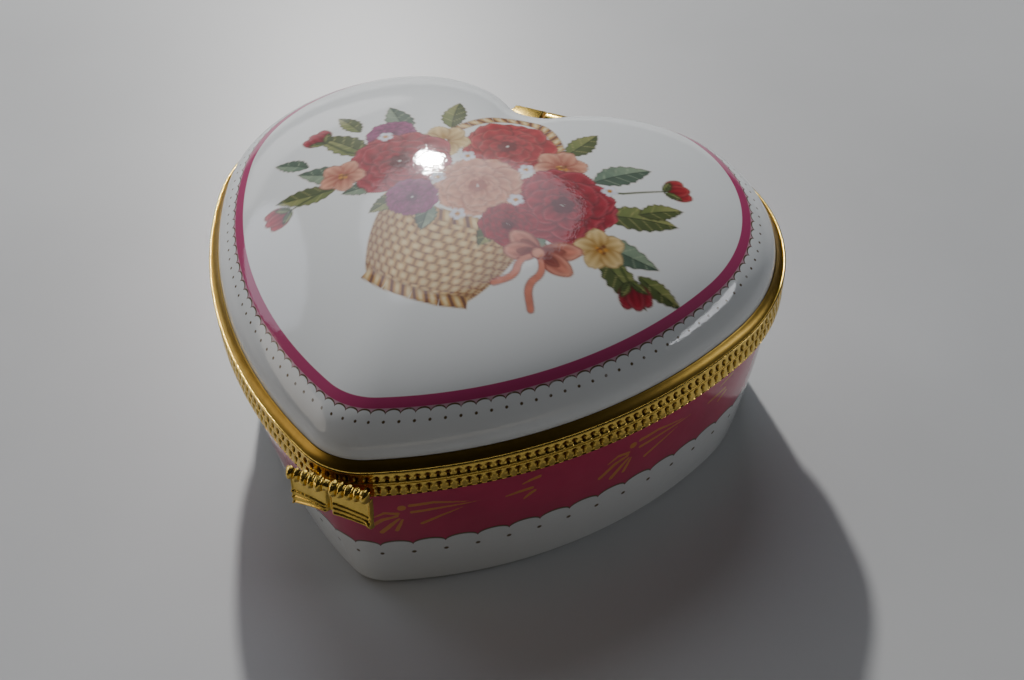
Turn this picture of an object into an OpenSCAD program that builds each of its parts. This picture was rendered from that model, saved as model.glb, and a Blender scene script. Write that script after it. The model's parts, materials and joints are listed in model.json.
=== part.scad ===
// Heart-shaped porcelain music box with a wind-up movement.
// Millimetres, +Z up, the heart's tip towards -Y, the hinge at +Y. The box stands on Z = 0.

/* [Heart outline] */
// Width across the two lobes, over the metal bands
body_w = 88; // [87:0.5:92]
// Length from the tops of the lobes to the tip, over the metal bands
body_l = 79.5; // [78.5:0.5:84]
// Distance of each lobe's centre from the centre plane
lobe_x = 15; // [14:0.5:16]
// Radius of a lobe's inner stretch, next to the notch
crown_r = 21; // [20:0.5:22]
// Direction at which a lobe's outer radius gives way to the inner one
crown_angle = 60; // [55:1:65]
// Radius of the long sides
side_r = 72.5; // [70:0.5:80]
// Radius of the rounded tip
tip_r = 11; // [10.5:0.5:13]
// Radius of the fillet in the notch
notch_r = 6; // [5:0.5:7]

/* [Porcelain base] */
// Height of the seam between the two metal bands
seam_z = 27.5; // [27.3:0.1:29]
// Porcelain wall of the base
base_wall = 3; // [2.5:0.1:3.4]
// How far the foot stands in from the top of the wall
base_taper = 3; // [2.5:0.1:3.8]
// Width of the foot ring
foot_w = 2.4; // [2:0.1:3]
// Depth of the recess under the base, where the key turns
recess_h = 8.2; // [8.1:0.1:9]
// Thickness of the porcelain floor
floor_t = 2.8; // [2.4:0.1:3.2]

/* [Porcelain lid] */
// Porcelain wall of the lid
lid_wall = 2.6; // [2.2:0.1:2.8]
// Height of the dome above its metal collar
dome_h = 12.5; // [12:0.1:15]
// Fullness of the dome in plan: 2 is an ellipse's curve, more is squarer
dome_plan = 2.15; // [2.05:0.05:2.6]
// Fullness of the dome in height: 2 is an ellipse's curve, more is squarer
dome_rise = 1.9; // [1.8:0.05:2.4]
// How round the dome's contours turn towards its top
dome_round = 0.75; // [0.5:0.05:0.9]

/* [Metal bands] */
// Height of each band's outer face
band_h = 2.2; // [2:0.1:2.6]
// Thickness of the bands' outer face
band_t = 1.1; // [0.9:0.1:1.2]
// Thickness of the bands' flat flanges
flange_t = 0.9; // [0.8:0.1:1.1]
// Gap between the closed bands
seam_gap = 0.06; // [0.04:0.01:0.12]
// Width of the polished cove above the upper band
cove_w = 1.15; // [1:0.05:1.6]
// Height of the polished cove
cove_h = 1; // [0.9:0.1:1.4]
// Height of the lip that guides the lid onto the base
tongue_h = 1.3; // [1:0.1:1.6]
// Thickness of that lip
tongue_t = 0.6; // [0.5:0.1:0.8]

/* [Hinge and clasp] */
// Overall width of the hinge's knuckles
hinge_w = 17; // [15:0.2:18]
// Width of the middle knuckle
middle_knuckle_w = 6.2; // [5:0.2:7]
// Outer radius of the knuckles
knuckle_r = 1.7; // [1.5:0.1:1.9]
// Radius of the hinge pin
hinge_pin_r = 0.6; // [0.5:0.05:0.7]
// Width of the bow-shaped clasp
clasp_w = 11.6; // [10:0.2:13]
// Height of the clasp
clasp_h = 7.6; // [7:0.2:8]
// How far the clasp stands out from the tip
clasp_reach = 2.8; // [2.6:0.1:3.2]

/* [Movement] */
// Length of the bedplate
bed_l = 50; // [49.5:0.1:50.4]
// Width of the bedplate
bed_w = 36.5; // [36.2:0.1:36.7]
// Thickness of the bedplate
bed_t = 2; // [1.8:0.1:2.2]
// Outer radius of the spring barrel
barrel_r = 10.6; // [10.4:0.1:10.8]
// Height of the spring barrel, without its crown teeth
barrel_h = 4.8; // [4.6:0.1:5.2]
// Radius of the winding arbor
arbor_r = 1.6; // [1.4:0.05:1.7]
// Radius of the pinned cylinder
drum_r = 6; // [5.8:0.1:6.05]
// Length of the pinned cylinder
drum_l = 19.6; // [19:0.1:19.7]
// Height of the pins above the cylinder
pin_h = 0.45; // [0.35:0.05:0.5]
// Number of notes, which is the number of comb teeth
notes = 18; // [12:1:20]
// Length of the comb's teeth
comb_tooth_l = 7.4; // [6.8:0.1:7.6]
// Span of the winding key
key_w = 20; // [18:0.5:22]
// Thickness of the key's wings
key_t = 1.6; // [1.4:0.1:2]
// Wall of the clear dust cover
cover_t = 0.9; // [0.8:0.1:1]

/* [Hidden] */
$fn = 48;

// Running clearance of a shaft in its bearing, and of a screw in its hole
run_gap = 0.05;
// Gap between pieces that lie beside each other
side_gap = 0.3;

// ---- the heart, drawn around the line that joins the two lobes' centres ----
lobe_r = body_w / 2 - lobe_x;
lobe_c = [lobe_x, 0];
crown_c = lobe_c + (lobe_r - crown_r) * [cos(crown_angle), sin(crown_angle)];
lobe_top = crown_c.y + crown_r;
tip_c = [0, lobe_top - body_l + tip_r];
tip_y = tip_c.y - tip_r;
// The side's circle touches the lobe's and the tip's from outside them
side_line = tip_c - lobe_c;
side_d = norm(side_line);
side_u = side_line / side_d;
side_along = ((side_r - lobe_r) ^ 2 - (side_r - tip_r) ^ 2 + side_d ^ 2) / (2 * side_d);
side_across = sqrt((side_r - lobe_r) ^ 2 - side_along ^ 2);
side_c = lobe_c + side_u * side_along + [side_u.y, -side_u.x] * side_across;
notch_c = [0, crown_c.y + sqrt((crown_r + notch_r) ^ 2 - crown_c.x ^ 2)];
notch_y = notch_c.y - notch_r;
crown_start = atan2(notch_c.y - crown_c.y, -crown_c.x);
side_start = atan2(lobe_c.y - side_c.y, lobe_c.x - side_c.x);
tip_start = atan2(tip_c.y - side_c.y, -side_c.x);

function arc(c, r, from, to, n) =
    [for (i = [0 : n - 1]) let (a = from + (to - from) * i / n) c + r * [cos(a), sin(a)]];
// Right half of the outline, set in by d, from the notch to the last point before the tip
function half_heart(d) = concat(
    arc(notch_c, notch_r + d, -90, crown_start - 180, 4),
    arc(crown_c, crown_r - d, crown_start, crown_angle, 12),
    arc(lobe_c, lobe_r - d, crown_angle, side_start, 9),
    arc(side_c, side_r - d, side_start, tip_start, 9),
    arc(tip_c, tip_r - d, tip_start, -90, 6));
function heart(d) = let (half = half_heart(d)) concat(
    half,
    [[0, tip_y + d]],
    [for (i = [len(half) - 1 : -1 : 1]) [-half[i].x, half[i].y]]);
function at_z(loop, z) = [for (p = loop) [p.x, p.y, z]];

// ---- heights ----
floor_z = recess_h + floor_t;
lower_band_z = seam_z - band_h;
upper_band_z = seam_z + seam_gap;
rim_z = upper_band_z + band_h;
cove_in = 0.35;
collar_in = cove_in + cove_w;
collar_z = rim_z + cove_h;
lid_in = collar_in + 0.15;
lid_foot_z = upper_band_z + flange_t + 0.05;
flange_in = lid_in + lid_wall + 0.15;
tongue_in = flange_in + 0.4;
base_in = band_t + 0.1;
base_top_z = seam_z - flange_t - 0.05;
// Rounding of the foot ring's edges
foot_round = 0.6;

// ---- the dome ----
dome_c = [0, -5];
dome_base = heart(lid_in);
function total(list, i = 0) = i == len(list) ? 0 : list[i] + total(list, i + 1);
function mean_reach(loop) = total([for (p = loop) norm(p - dome_c)]) / len(loop);
// Contour of the dome at share s of the way from its centre to its edge
function dome_loop(loop, s) = let (round_r = mean_reach(loop), w = dome_round * (1 - s))
    [for (p = loop) let (r = norm(p - dome_c)) dome_c + (p - dome_c) / r * s * ((1 - w) * r + w * round_r)];
function dome_share(a) = cos(a) ^ (2 / dome_plan);
function dome_lift(a) = sin(a) ^ (2 / dome_rise);
function dome_rings(loop, foot_z, h, angles) =
    [for (a = angles) at_z(dome_loop(loop, dome_share(a)), foot_z + h * dome_lift(a))];
// Height of the dome's inside over a point
function angle_gap(a, b) = abs((a - b + 540) % 360 - 180);
function reach_towards(loop, p) =
    let (want = atan2(p.y - dome_c.y, p.x - dome_c.x),
         gaps = [for (q = loop) angle_gap(atan2(q.y - dome_c.y, q.x - dome_c.x), want)],
         best = min(gaps))
    [for (i = [0 : len(loop) - 1]) if (gaps[i] == best) norm(loop[i] - dome_c)][0];
function share_at(r, want, round_r, s = 0, step = 0.5) =
    step < 0.001 ? s :
    let (t = s + step, w = dome_round * (1 - t), got = t * ((1 - w) * r + w * round_r))
    share_at(r, want, round_r, got > want ? s : t, step / 2);
function inner_dome_z(p) = let (loop = heart(lid_in + lid_wall),
    s = share_at(reach_towards(loop, p), norm(p - dome_c), mean_reach(loop)))
    collar_z + (dome_h - lid_wall) * (1 - s ^ dome_plan) ^ (1 / dome_rise);

// ---- hinge ----
// The axis lies just behind the lobes, so that nothing of the lid swings down into the base
hinge_y = lobe_top + 0.9;
hinge_z = seam_z + seam_gap / 2;
outer_knuckle_w = (hinge_w - middle_knuckle_w) / 2 - side_gap;

// The part's origin is the middle of its whole length, so the heart is moved along Y
heart_y = (clasp_reach - tip_y - hinge_y - knuckle_r) / 2;

// ---- movement, placed around the barrel's axis ----
bed_z = floor_z;
bed_top = bed_z + bed_t;
train_y = -5;
// The train's line lies behind the middle of the bed, since the comb takes the front
bed_back = train_y + bed_w * 34 / 73;
bed_front = bed_back - bed_w;
barrel_x = -13.5;
barrel_c = [barrel_x, train_y];
barrel_z = bed_top + 0.45;
barrel_top = barrel_z + barrel_h;
// Crown teeth on the barrel drive a pinion on the cylinder's arbor
crown_teeth = 30;
pinion_teeth = 10;
crown_w = 1.4;
crown_mean_r = barrel_r - crown_w / 2 - side_gap;
crown_module = 2 * crown_mean_r / crown_teeth;
crown_pitch_z = barrel_top + crown_module;
pinion_r = pinion_teeth * crown_module / 2;
axis_z = crown_pitch_z + pinion_r;
pinion_x = barrel_x + crown_mean_r;
pinion_w = 1.6;
drum_x0 = barrel_x + barrel_r + 0.7;
drum_x1 = drum_x0 + drum_l;
// A gear on the cylinder drives the governor's pinion, and its worm wheel the fan
fine_module = 0.4;
gear_teeth = 24;
gov_pinion_teeth = 12;
wheel_teeth = 18;
gear_w = 1.2;
wheel_w = 0.8;
gear_x = drum_x1 + 1.9;
wheel_x = gear_x + gear_w + 0.8;
gov_y = train_y + (gear_teeth + gov_pinion_teeth) * fine_module / 2;
wheel_r = wheel_teeth * fine_module / 2;
worm_r = 1.1;
worm_lead = 3.14159265 * fine_module;
fan_c = [wheel_x + wheel_w / 2, gov_y + wheel_r + worm_r];
fan_r = 3.2;
fan_z0 = bed_top + 1.9;
fan_z1 = fan_z0 + 2.8;
plate_x = wheel_x + wheel_w + 0.8;
plate_t = 1.2;
arm_z = axis_z + wheel_r + 0.5;
shaft_r = 0.8;
fine_shaft_r = 0.6;
worm_shaft_r = 0.5;
foot_t = 1.2;
small_screw_r = 0.8;
small_head_r = 1.15;
small_head_h = 0.4;
bed_edge = 0.6;
// The bed reaches past all that stands on it
bed_half = max(bed_l / 2, plate_x + plate_t + bed_edge, barrel_r - barrel_x + bed_edge);
bridge_x = pinion_x - pinion_w / 2 - 2.1;
bridge_half = barrel_r + 0.6;
bridge_screw_spots = [for (side = [-1, 1]) [bridge_x + 2, train_y + side * (bridge_half + 1.65)]];
// The comb lies level with the cylinder's axis
comb_t = 0.8;
comb_tip_y = train_y - drum_r - pin_h - 0.12;
comb_root_y = comb_tip_y - comb_tooth_l;
comb_back_y = bed_front + 0.2;
comb_screw_y = (comb_back_y + comb_root_y) / 2;
comb_screw_r = 0.9;
comb_head_r = 1.7;
comb_head_h = 1.1;
comb_screw_l = 3.4;
comb_screw_xs = [drum_x0 + 4, drum_x1 - 4];
screw_spots = [[-20.5, 8.5], [12, 8.5], [20.5, -19]];
screw_r = 1.25;
cover_gap = 0.25;
cover_top = axis_z + drum_r + pin_h + 1.6;
// The stop wire stands outside the cover, beside the fan
wire_r = 0.5;
wire_x = bed_half + cover_gap + cover_t + 2.4;
wire_y = fan_c.y;
wire_finger_z = fan_z0 + 1;
wire_stroke = 2.4;
guide_h = 3.2;
// The key hangs in the recess and stays off the surface that the box stands on
key_bottom = 1;
key_top = recess_h - 0.6;

module placed() {
    translate([0, heart_y, 0]) children();
}

// Closed skin through a list of level loops, each with as many points as the next
module skin(loops) {
    n = len(loops[0]);
    m = len(loops);
    sides = [for (j = [0 : m - 2], i = [0 : n - 1]) let (k = (i + 1) % n)
        each [[j * n + i, j * n + k, (j + 1) * n + k], [j * n + i, (j + 1) * n + k, (j + 1) * n + i]]];
    caps = [[for (i = [n - 1 : -1 : 0]) i], [for (i = [0 : n - 1]) (m - 1) * n + i]];
    polyhedron([for (loop = loops) each loop], concat(sides, caps), convexity = 6);
}

// Ring with the given section, [inset, height] points in a closed loop, swept round the heart
module heart_ring(section) {
    n = len(heart(0));
    m = len(section);
    points = [for (p = section) each at_z(heart(p[0]), p[1])];
    faces = [for (j = [0 : m - 1], i = [0 : n - 1]) let (k = (i + 1) % n, l = (j + 1) % m)
        each [[j * n + i, j * n + k, l * n + k], [j * n + i, l * n + k, l * n + i]]];
    polyhedron(points, faces, convexity = 6);
}

module heart_slab(inset, z0, z1) {
    translate([0, 0, z0]) linear_extrude(z1 - z0) polygon(heart(inset));
}

// ---- porcelain ----
// Inset of the base's outside at a height: a slightly bellied wall that draws in to the foot
function base_inset(z) = base_in + base_taper * (1 - min(z, lower_band_z) / lower_band_z) ^ 1.4;

module base_shell() {
    outer_zs = [lower_band_z, 21, 16.5, 12, 8, 4.5, 2, foot_round];
    foot_in = base_inset(0);
    color("#f2f3f1") difference() {
        skin(concat(
            [at_z(heart(base_inset(floor_z) + base_wall), floor_z)],
            [at_z(heart(base_in + base_wall), base_top_z - 6)],
            [at_z(heart(base_in + base_wall), base_top_z)],
            [at_z(heart(base_in), base_top_z)],
            [for (z = outer_zs) at_z(heart(base_inset(z)), z)],
            [at_z(heart(foot_in + foot_round), 0)],
            [at_z(heart(foot_in + foot_w), 0)],
            [at_z(heart(foot_in + foot_w + 0.5), foot_round)],
            [at_z(heart(foot_in + foot_w + 0.5), recess_h)]));
        translate([barrel_c.x, barrel_c.y, 0]) cylinder(r = arbor_r + 1.6, h = floor_z + 1);
        for (p = screw_spots) translate([p.x, p.y, 0]) cylinder(r = screw_r + 0.4, h = floor_z + 1);
    }
}

module lid_shell() {
    outer_angles = [0, 6, 13, 20, 28, 37, 47, 57, 67, 77, 88];
    inner_angles = [88, 76, 62, 48, 34, 20, 8, 0];
    color("#f2f3f1") skin(concat(
        dome_rings(heart(lid_in + lid_wall), collar_z, dome_h - lid_wall, inner_angles),
        [at_z(heart(lid_in + lid_wall), lid_foot_z)],
        [at_z(heart(lid_in), lid_foot_z)],
        dome_rings(heart(lid_in), collar_z, dome_h, outer_angles)));
}

// ---- metal bands ----
module lower_bezel() {
    edge = 0.15;
    color("#c9a23a") heart_ring([
        [edge, lower_band_z], [0, lower_band_z + edge], [0, seam_z - edge], [edge, seam_z],
        [tongue_in, seam_z], [tongue_in, seam_z + tongue_h],
        [tongue_in + tongue_t, seam_z + tongue_h], [tongue_in + tongue_t, seam_z - flange_t],
        [band_t, seam_z - flange_t], [band_t, lower_band_z]]);
}

module upper_bezel() {
    edge = 0.15;
    cove = [for (a = [0 : 22.5 : 90])
        [cove_in + cove_w * sin(a), rim_z + cove_h * (1 - cos(a))]];
    color("#c9a23a") heart_ring(concat(
        [[edge, upper_band_z], [0, upper_band_z + edge], [0, rim_z - edge], [edge, rim_z]],
        cove,
        [[lid_in - 0.05, collar_z], [lid_in - 0.05, upper_band_z + flange_t],
         [flange_in, upper_band_z + flange_t], [flange_in, upper_band_z]]));
}

// ---- hinge and clasp ----
module knuckle(x, w) {
    translate([x - w / 2, hinge_y, hinge_z]) rotate([0, 90, 0]) cylinder(r = knuckle_r, h = w);
}

module pin_bore() {
    translate([-hinge_w, hinge_y, hinge_z]) rotate([0, 90, 0])
        cylinder(r = hinge_pin_r + run_gap, h = 2 * hinge_w);
}

module base_hinge_leaf() {
    arm_z0 = lower_band_z + 0.1;
    arm_z1 = seam_z - 0.1;
    color("#c9a23a") difference() {
        union() {
            knuckle(0, middle_knuckle_w);
            translate([-middle_knuckle_w / 2, notch_y - 2, arm_z0])
                cube([middle_knuckle_w, hinge_y - notch_y + 2, arm_z1 - arm_z0]);
        }
        heart_slab(-0.02, 0, collar_z);
        pin_bore();
    }
}

module lid_hinge_leaf() {
    arm_z0 = upper_band_z + 0.15;
    arm_z1 = rim_z - 0.1;
    color("#c9a23a") for (side = [-1, 1])
        let (x = side * (middle_knuckle_w / 2 + side_gap + outer_knuckle_w / 2)) difference() {
            union() {
                knuckle(x, outer_knuckle_w);
                translate([x - outer_knuckle_w / 2, notch_y - 2, arm_z0])
                    cube([outer_knuckle_w, hinge_y - notch_y + 2, arm_z1 - arm_z0]);
            }
            heart_slab(-0.02, 0, collar_z);
            pin_bore();
        }
}

module hinge_pin() {
    head_r = hinge_pin_r + 0.5;
    head_l = 0.6;
    color("#c9a23a") translate([0, hinge_y, hinge_z]) rotate([0, 90, 0]) {
        cylinder(r = hinge_pin_r, h = hinge_w + 0.4, center = true);
        for (side = [-1, 1]) translate([0, 0, side * (hinge_w / 2 + 0.2 + head_l / 2)])
            cylinder(r = head_r, h = head_l, center = true);
    }
}

nub_r = 0.55;
nub_z = lower_band_z + band_h / 2;
clasp_top = rim_z - 0.2;
clasp_back = 0.85;
crest_r = 0.95;
crest_z = clasp_top - crest_r;

module catch_nub() {
    color("#c9a23a") intersection() {
        translate([0, tip_y - 0.02, nub_z]) sphere(r = nub_r);
        translate([-nub_r, tip_y - 2 * nub_r - 0.02, nub_z - nub_r]) cube(2 * nub_r);
    }
}

// One wing of the bow, on the right: a plate that deepens outwards, with three ribs along its foot
module bow_wing() {
    w = clasp_w / 2;
    lap = 0.35;
    wing_h = clasp_h - crest_r;
    rise = 1.1;
    slant = atan2(rise, w);
    plate_t = clasp_reach - clasp_back - 0.5;
    rotate([90, 0, 0]) {
        linear_extrude(plate_t) polygon([[-lap, rise - wing_h], [0, rise - wing_h], [w, -wing_h], [w, 0.2], [-lap, 0.2]]);
        for (i = [0 : 2]) translate([0.5, rise * (1 - 0.5 / w) - wing_h + 0.42 + 0.74 * i, plate_t - 0.1])
            rotate([0, 90, -slant]) cylinder(r = 0.3, h = (w - 0.8) / cos(slant), $fn = 16);
    }
}

module clasp_bow() {
    ribs = 11;
    pitch = (clasp_w - 1) / ribs;
    lean = 6;
    back_y = tip_y - clasp_back;
    crest_h = 1;
    color("#c9a23a") difference() {
        union() {
            for (side = [0, 1]) mirror([side, 0, 0]) translate([0, back_y, crest_z]) rotate(lean) bow_wing();
            // the ribbed crest, which hangs on the upper band
            translate([-clasp_w / 2 + 0.4, tip_y - clasp_reach + 0.35, crest_z - 0.35])
                cube([clasp_w - 0.8, clasp_reach + 1.6, crest_h]);
            for (i = [0 : ribs - 1]) translate([(i - (ribs - 1) / 2) * pitch, tip_y - clasp_reach, crest_z + 0.15])
                rotate([-90, 0, 0]) cylinder(r = pitch * 0.42, h = 1.2, $fn = 16);
        }
        heart_slab(-0.02, upper_band_z - 0.1, collar_z + 4);
        heart_slab(-clasp_back, 0, upper_band_z - 0.1);
    }
}

// ---- gears ----
// Outline of an involute gear with z teeth of module m; a tooth's middle points along +X
pressure = 25;
function involute(a) = tan(a) * 180 / 3.14159265 - a;
function gear_outline(m, z, tip, root, slack) =
    let (pitch_r = m * z / 2, base_r = pitch_r * cos(pressure),
         half = 90 / z - slack / (2 * pitch_r) * 180 / 3.14159265,
         start_r = max(base_r, pitch_r - root),
         radii = [for (i = [0 : 3]) start_r + (pitch_r + tip - start_r) * i / 3],
         flank = [for (r = radii) [r, half + involute(pressure) - involute(acos(min(1, base_r / r)))]],
         foot = [pitch_r - root, flank[0][1]])
    [for (i = [0 : z - 1]) let (mid = i * 360 / z) each concat(
        [for (f = concat([foot], flank)) f[0] * [cos(mid - f[1]), sin(mid - f[1])]],
        [for (j = [3 : -1 : 0]) flank[j][0] * [cos(mid + flank[j][1]), sin(mid + flank[j][1])]],
        [foot[0] * [cos(mid + foot[1]), sin(mid + foot[1])]])];

// Gear on a shaft along +X, its tooth 0 pointing at angle turn from +Y towards +Z
module cross_gear(x, y, w, m, z, turn, tip, root, slack, bore) {
    translate([x, y, axis_z]) rotate([90, 0, 90]) difference() {
        linear_extrude(w) rotate(turn) polygon(gear_outline(m, z, tip, root, slack));
        translate([0, 0, -1]) cylinder(r = bore, h = w + 2);
    }
}

// Shaft along +X through the train's axis height
module cross_shaft(x0, x1, y, r) {
    translate([x0, y, axis_z]) rotate([0, 90, 0]) cylinder(r = r, h = x1 - x0);
}

// ---- winding side ----
key_wing_r = 3.1;
key_hole_r = 1.4;
module winding_key() {
    wing_r = key_wing_r;
    wing_z = key_bottom + wing_r;
    color("#b9bcc0") translate([barrel_c.x, barrel_c.y, 0]) difference() {
        union() {
            translate([0, 0, key_bottom + 1]) cylinder(r = arbor_r + 1.4, h = key_top - key_bottom - 1);
            for (side = [-1, 1]) translate([side * (key_w / 2 - wing_r), key_t / 2, wing_z])
                rotate([90, 0, 0]) cylinder(r = wing_r, h = key_t);
            translate([-key_w / 2 + wing_r, -key_t / 2, wing_z - key_t]) cube([key_w - 2 * wing_r, key_t, 2 * key_t]);
        }
        translate([0, 0, key_bottom + 2]) cylinder(r = arbor_r + run_gap, h = key_top);
        for (side = [-1, 1]) translate([side * (key_w / 2 - wing_r), key_t, wing_z])
            rotate([90, 0, 0]) cylinder(r = key_hole_r, h = 2 * key_t);
    }
}

arbor_top = barrel_top + 3.2;
module winding_arbor() {
    collar = 0.5;
    color("#b9bcc0") translate([barrel_c.x, barrel_c.y, 0]) {
        translate([0, 0, key_bottom + 2.1]) cylinder(r = arbor_r, h = arbor_top - key_bottom - 2.1);
        translate([0, 0, bed_top + 0.05]) cylinder(r = arbor_r + collar, h = 0.35);
    }
}

module clutch_spring() {
    wire = 0.28;
    color("#8d9094") translate([barrel_c.x, barrel_c.y, 0]) for (i = [0 : 2])
        translate([0, 0, bed_z - wire - i * 2.06 * wire])
            rotate_extrude() translate([arbor_r + 0.06 + wire, 0]) circle(r = wire, $fn = 16);
}

barrel_wall = 0.8;
module barrel_drum() {
    inner_r = barrel_r - barrel_wall;
    pitch = 360 / crown_teeth;
    half = 0.8125 * crown_module;
    tip = 0.27 * crown_module;
    tall = 1.72 * crown_module;
    tooth = [[-half, -0.3], [-half, 0], [-tip, tall], [tip, tall], [half, 0], [half, -0.3]];
    color("#b58a35") translate([barrel_c.x, barrel_c.y, 0]) {
        difference() {
            translate([0, 0, barrel_z + barrel_wall]) cylinder(r = barrel_r, h = barrel_h - barrel_wall);
            translate([0, 0, barrel_z]) cylinder(r = inner_r, h = barrel_h - barrel_wall);
            cylinder(r = arbor_r + run_gap, h = barrel_top + 1);
        }
        for (i = [0 : crown_teeth - 1]) rotate((i + 0.5) * pitch)
            translate([crown_mean_r - crown_w / 2, 0, barrel_top]) rotate([90, 0, 90])
                linear_extrude(crown_w) polygon(tooth);
    }
}

module barrel_cap() {
    color("#b58a35") translate([barrel_c.x, barrel_c.y, 0]) difference() {
        translate([0, 0, barrel_z]) cylinder(r = barrel_r, h = barrel_wall);
        translate([0, 0, barrel_z - 1]) cylinder(r = arbor_r + run_gap, h = 3);
    }
}

module mainspring() {
    strip_t = 0.22;
    r0 = arbor_r + 0.15;
    r1 = barrel_r - barrel_wall - strip_t - 0.06;
    turns = 7;
    steps = 24 * turns;
    function coil(r_add) = [for (i = [0 : steps]) let (a = i * 360 * turns / steps,
        r = r0 + (r1 - r0) * i / steps + r_add) r * [cos(a), sin(a)]];
    color("#5f6468") translate([barrel_c.x, barrel_c.y, barrel_z + barrel_wall + 0.15]) linear_extrude(barrel_h - 2 * barrel_wall - 0.3)
        polygon(concat(coil(0), [for (i = [steps : -1 : 0]) coil(strip_t)[i]]));
}

// Arch over the barrel: it carries the arbor's top and the cylinder's left end
module barrel_bridge() {
    x0 = bridge_x;
    t = 1.5;
    half = bridge_half;
    top = axis_z + 2.2;
    arm_lift = barrel_top + 1.8;
    color("#c3c6c8") difference() {
        union() {
            translate([x0, train_y - half, bed_top]) cube([t, 2 * half, top - bed_top]);
            translate([barrel_x - 2.8, train_y - 2.8, arm_lift]) cube([x0 - barrel_x + 3, 5.6, 1.4]);
            for (p = bridge_screw_spots) translate([x0, p.y - 1.7, bed_top]) cube([3.8, 3.4, foot_t]);
        }
        for (p = bridge_screw_spots) translate([p.x, p.y, bed_top - 1]) cylinder(r = small_screw_r + run_gap, h = foot_t + 2);
        translate([barrel_c.x, barrel_c.y, bed_top - 1]) cylinder(r = barrel_r + 0.3, h = arm_lift - bed_top + 0.9);
        translate([barrel_c.x, barrel_c.y, 0]) cylinder(r = arbor_r + run_gap, h = 60);
        translate([x0 - 1, train_y, axis_z]) rotate([0, 90, 0]) cylinder(r = shaft_r + run_gap, h = t + 2);
    }
}

// ---- cylinder and comb ----
note_pitch = drum_l / notes;
module music_cylinder() {
    rows = 4;
    pins_r = 0.16;
    color("#c99b3f") {
        difference() {
            cross_shaft(drum_x0, drum_x1, train_y, drum_r);
            cross_shaft(drum_x0 - 1, drum_x1 + 1, train_y, shaft_r);
        }
        for (i = [0 : notes - 1], k = [0 : rows - 1])
            let (a = 24 + (i * 77 + k * 360 / rows + (i * i * 13) % 60) % 312)
            translate([drum_x0 + (i + 0.5) * note_pitch, train_y, axis_z]) rotate([a, 0, 0])
                translate([0, 0, drum_r - 0.3]) cylinder(r = pins_r, h = pin_h + 0.3, $fn = 16);
    }
}

module cylinder_arbor() {
    color("#b9bcc0") {
        cross_shaft(pinion_x - pinion_w / 2 - 2.3, plate_x + plate_t + 0.2, train_y, shaft_r);
    }
}

module cylinder_pinion() {
    color("#b9bcc0") cross_gear(pinion_x - pinion_w / 2, train_y, pinion_w, crown_module, pinion_teeth,
        -90, 0.78 * crown_module, 0.97 * crown_module, 0.34 * crown_module, shaft_r);
}

module cylinder_gear() {
    color("#c99b3f") cross_gear(gear_x, train_y, gear_w, fine_module, gear_teeth,
        180 / gear_teeth, 0.32, 0.46, 0.16, shaft_r);
}

module comb() {
    slot = 0.22;
    color("#a9adb1") difference() {
        translate([drum_x0, comb_back_y, axis_z - comb_t / 2])
            cube([drum_l, comb_tip_y - comb_back_y, comb_t]);
        for (i = [1 : notes - 1])
            translate([drum_x0 + i * note_pitch - slot / 2, comb_root_y + 1.6 * (i / notes), axis_z - 1])
                cube([slot, comb_tooth_l + 1, 2]);
        for (x = comb_screw_xs) translate([x, comb_screw_y, axis_z - comb_t]) cylinder(r = comb_screw_r + run_gap, h = 2 * comb_t);
    }
}

module comb_block() {
    color("#c3c6c8") difference() {
        translate([drum_x0 - 0.6, comb_back_y, bed_top])
            cube([drum_l + 1.2, comb_root_y - comb_back_y - 0.3, axis_z - comb_t / 2 - bed_top]);
        for (x = comb_screw_xs) translate([x, comb_screw_y, axis_z + comb_t / 2 - comb_screw_l - 0.2]) cylinder(r = comb_screw_r + run_gap, h = 2 * comb_screw_l);
    }
}

module slotted_screw(head_r, head_h, shank_r, shank_l) {
    difference() {
        cylinder(r = head_r, h = head_h);
        translate([-head_r, -0.25, head_h * 0.5]) cube([2 * head_r, 0.5, head_h]);
    }
    translate([0, 0, -shank_l]) cylinder(r = shank_r, h = shank_l + 0.1);
}

module comb_screws() {
    color("#d0d2d4") for (x = comb_screw_xs) translate([x, comb_screw_y, axis_z + comb_t / 2])
        slotted_screw(comb_head_r, comb_head_h, comb_screw_r, comb_screw_l);
}

// ---- governor ----
bearing_r = 2.6;
tab_x = drum_x1 + 0.5;
tab_t = 0.8;
module governor_frame() {
    plate_y0 = train_y - bearing_r;
    plate_y1 = fan_c.y - fan_r - 0.3;
    foot_y1 = fan_c.y + small_head_r + 1.05;
    color("#c3c6c8") difference() {
        union() {
            translate([tab_x, plate_y0, bed_top]) cube([plate_x + plate_t - tab_x, foot_y1 - plate_y0, foot_t]);
            translate([plate_x, plate_y0, bed_top]) cube([plate_t, plate_y1 - plate_y0, arm_z + 1.2 - bed_top]);
            translate([tab_x, gov_y - 2 * tab_t, bed_top]) cube([tab_t, 4 * tab_t, axis_z + 2 * tab_t - bed_top]);
            translate([fan_c.x - 1.4, plate_y1 - 2, arm_z]) cube([plate_x + plate_t - fan_c.x + 1.4, fan_c.y - plate_y1 + 3.6, 1.2]);
        }
        translate([plate_x - 1, train_y, axis_z]) rotate([0, 90, 0]) cylinder(r = shaft_r + run_gap, h = 4);
        translate([tab_x - 1, gov_y, axis_z]) rotate([0, 90, 0]) cylinder(r = fine_shaft_r + run_gap, h = 12);
        translate([fan_c.x, fan_c.y, bed_top + 0.3]) cylinder(r = worm_shaft_r + run_gap, h = 40);
        for (p = frame_screw_spots) translate([p.x, p.y, bed_top - 1]) cylinder(r = small_screw_r + run_gap, h = foot_t + 2);
    }
}

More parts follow.
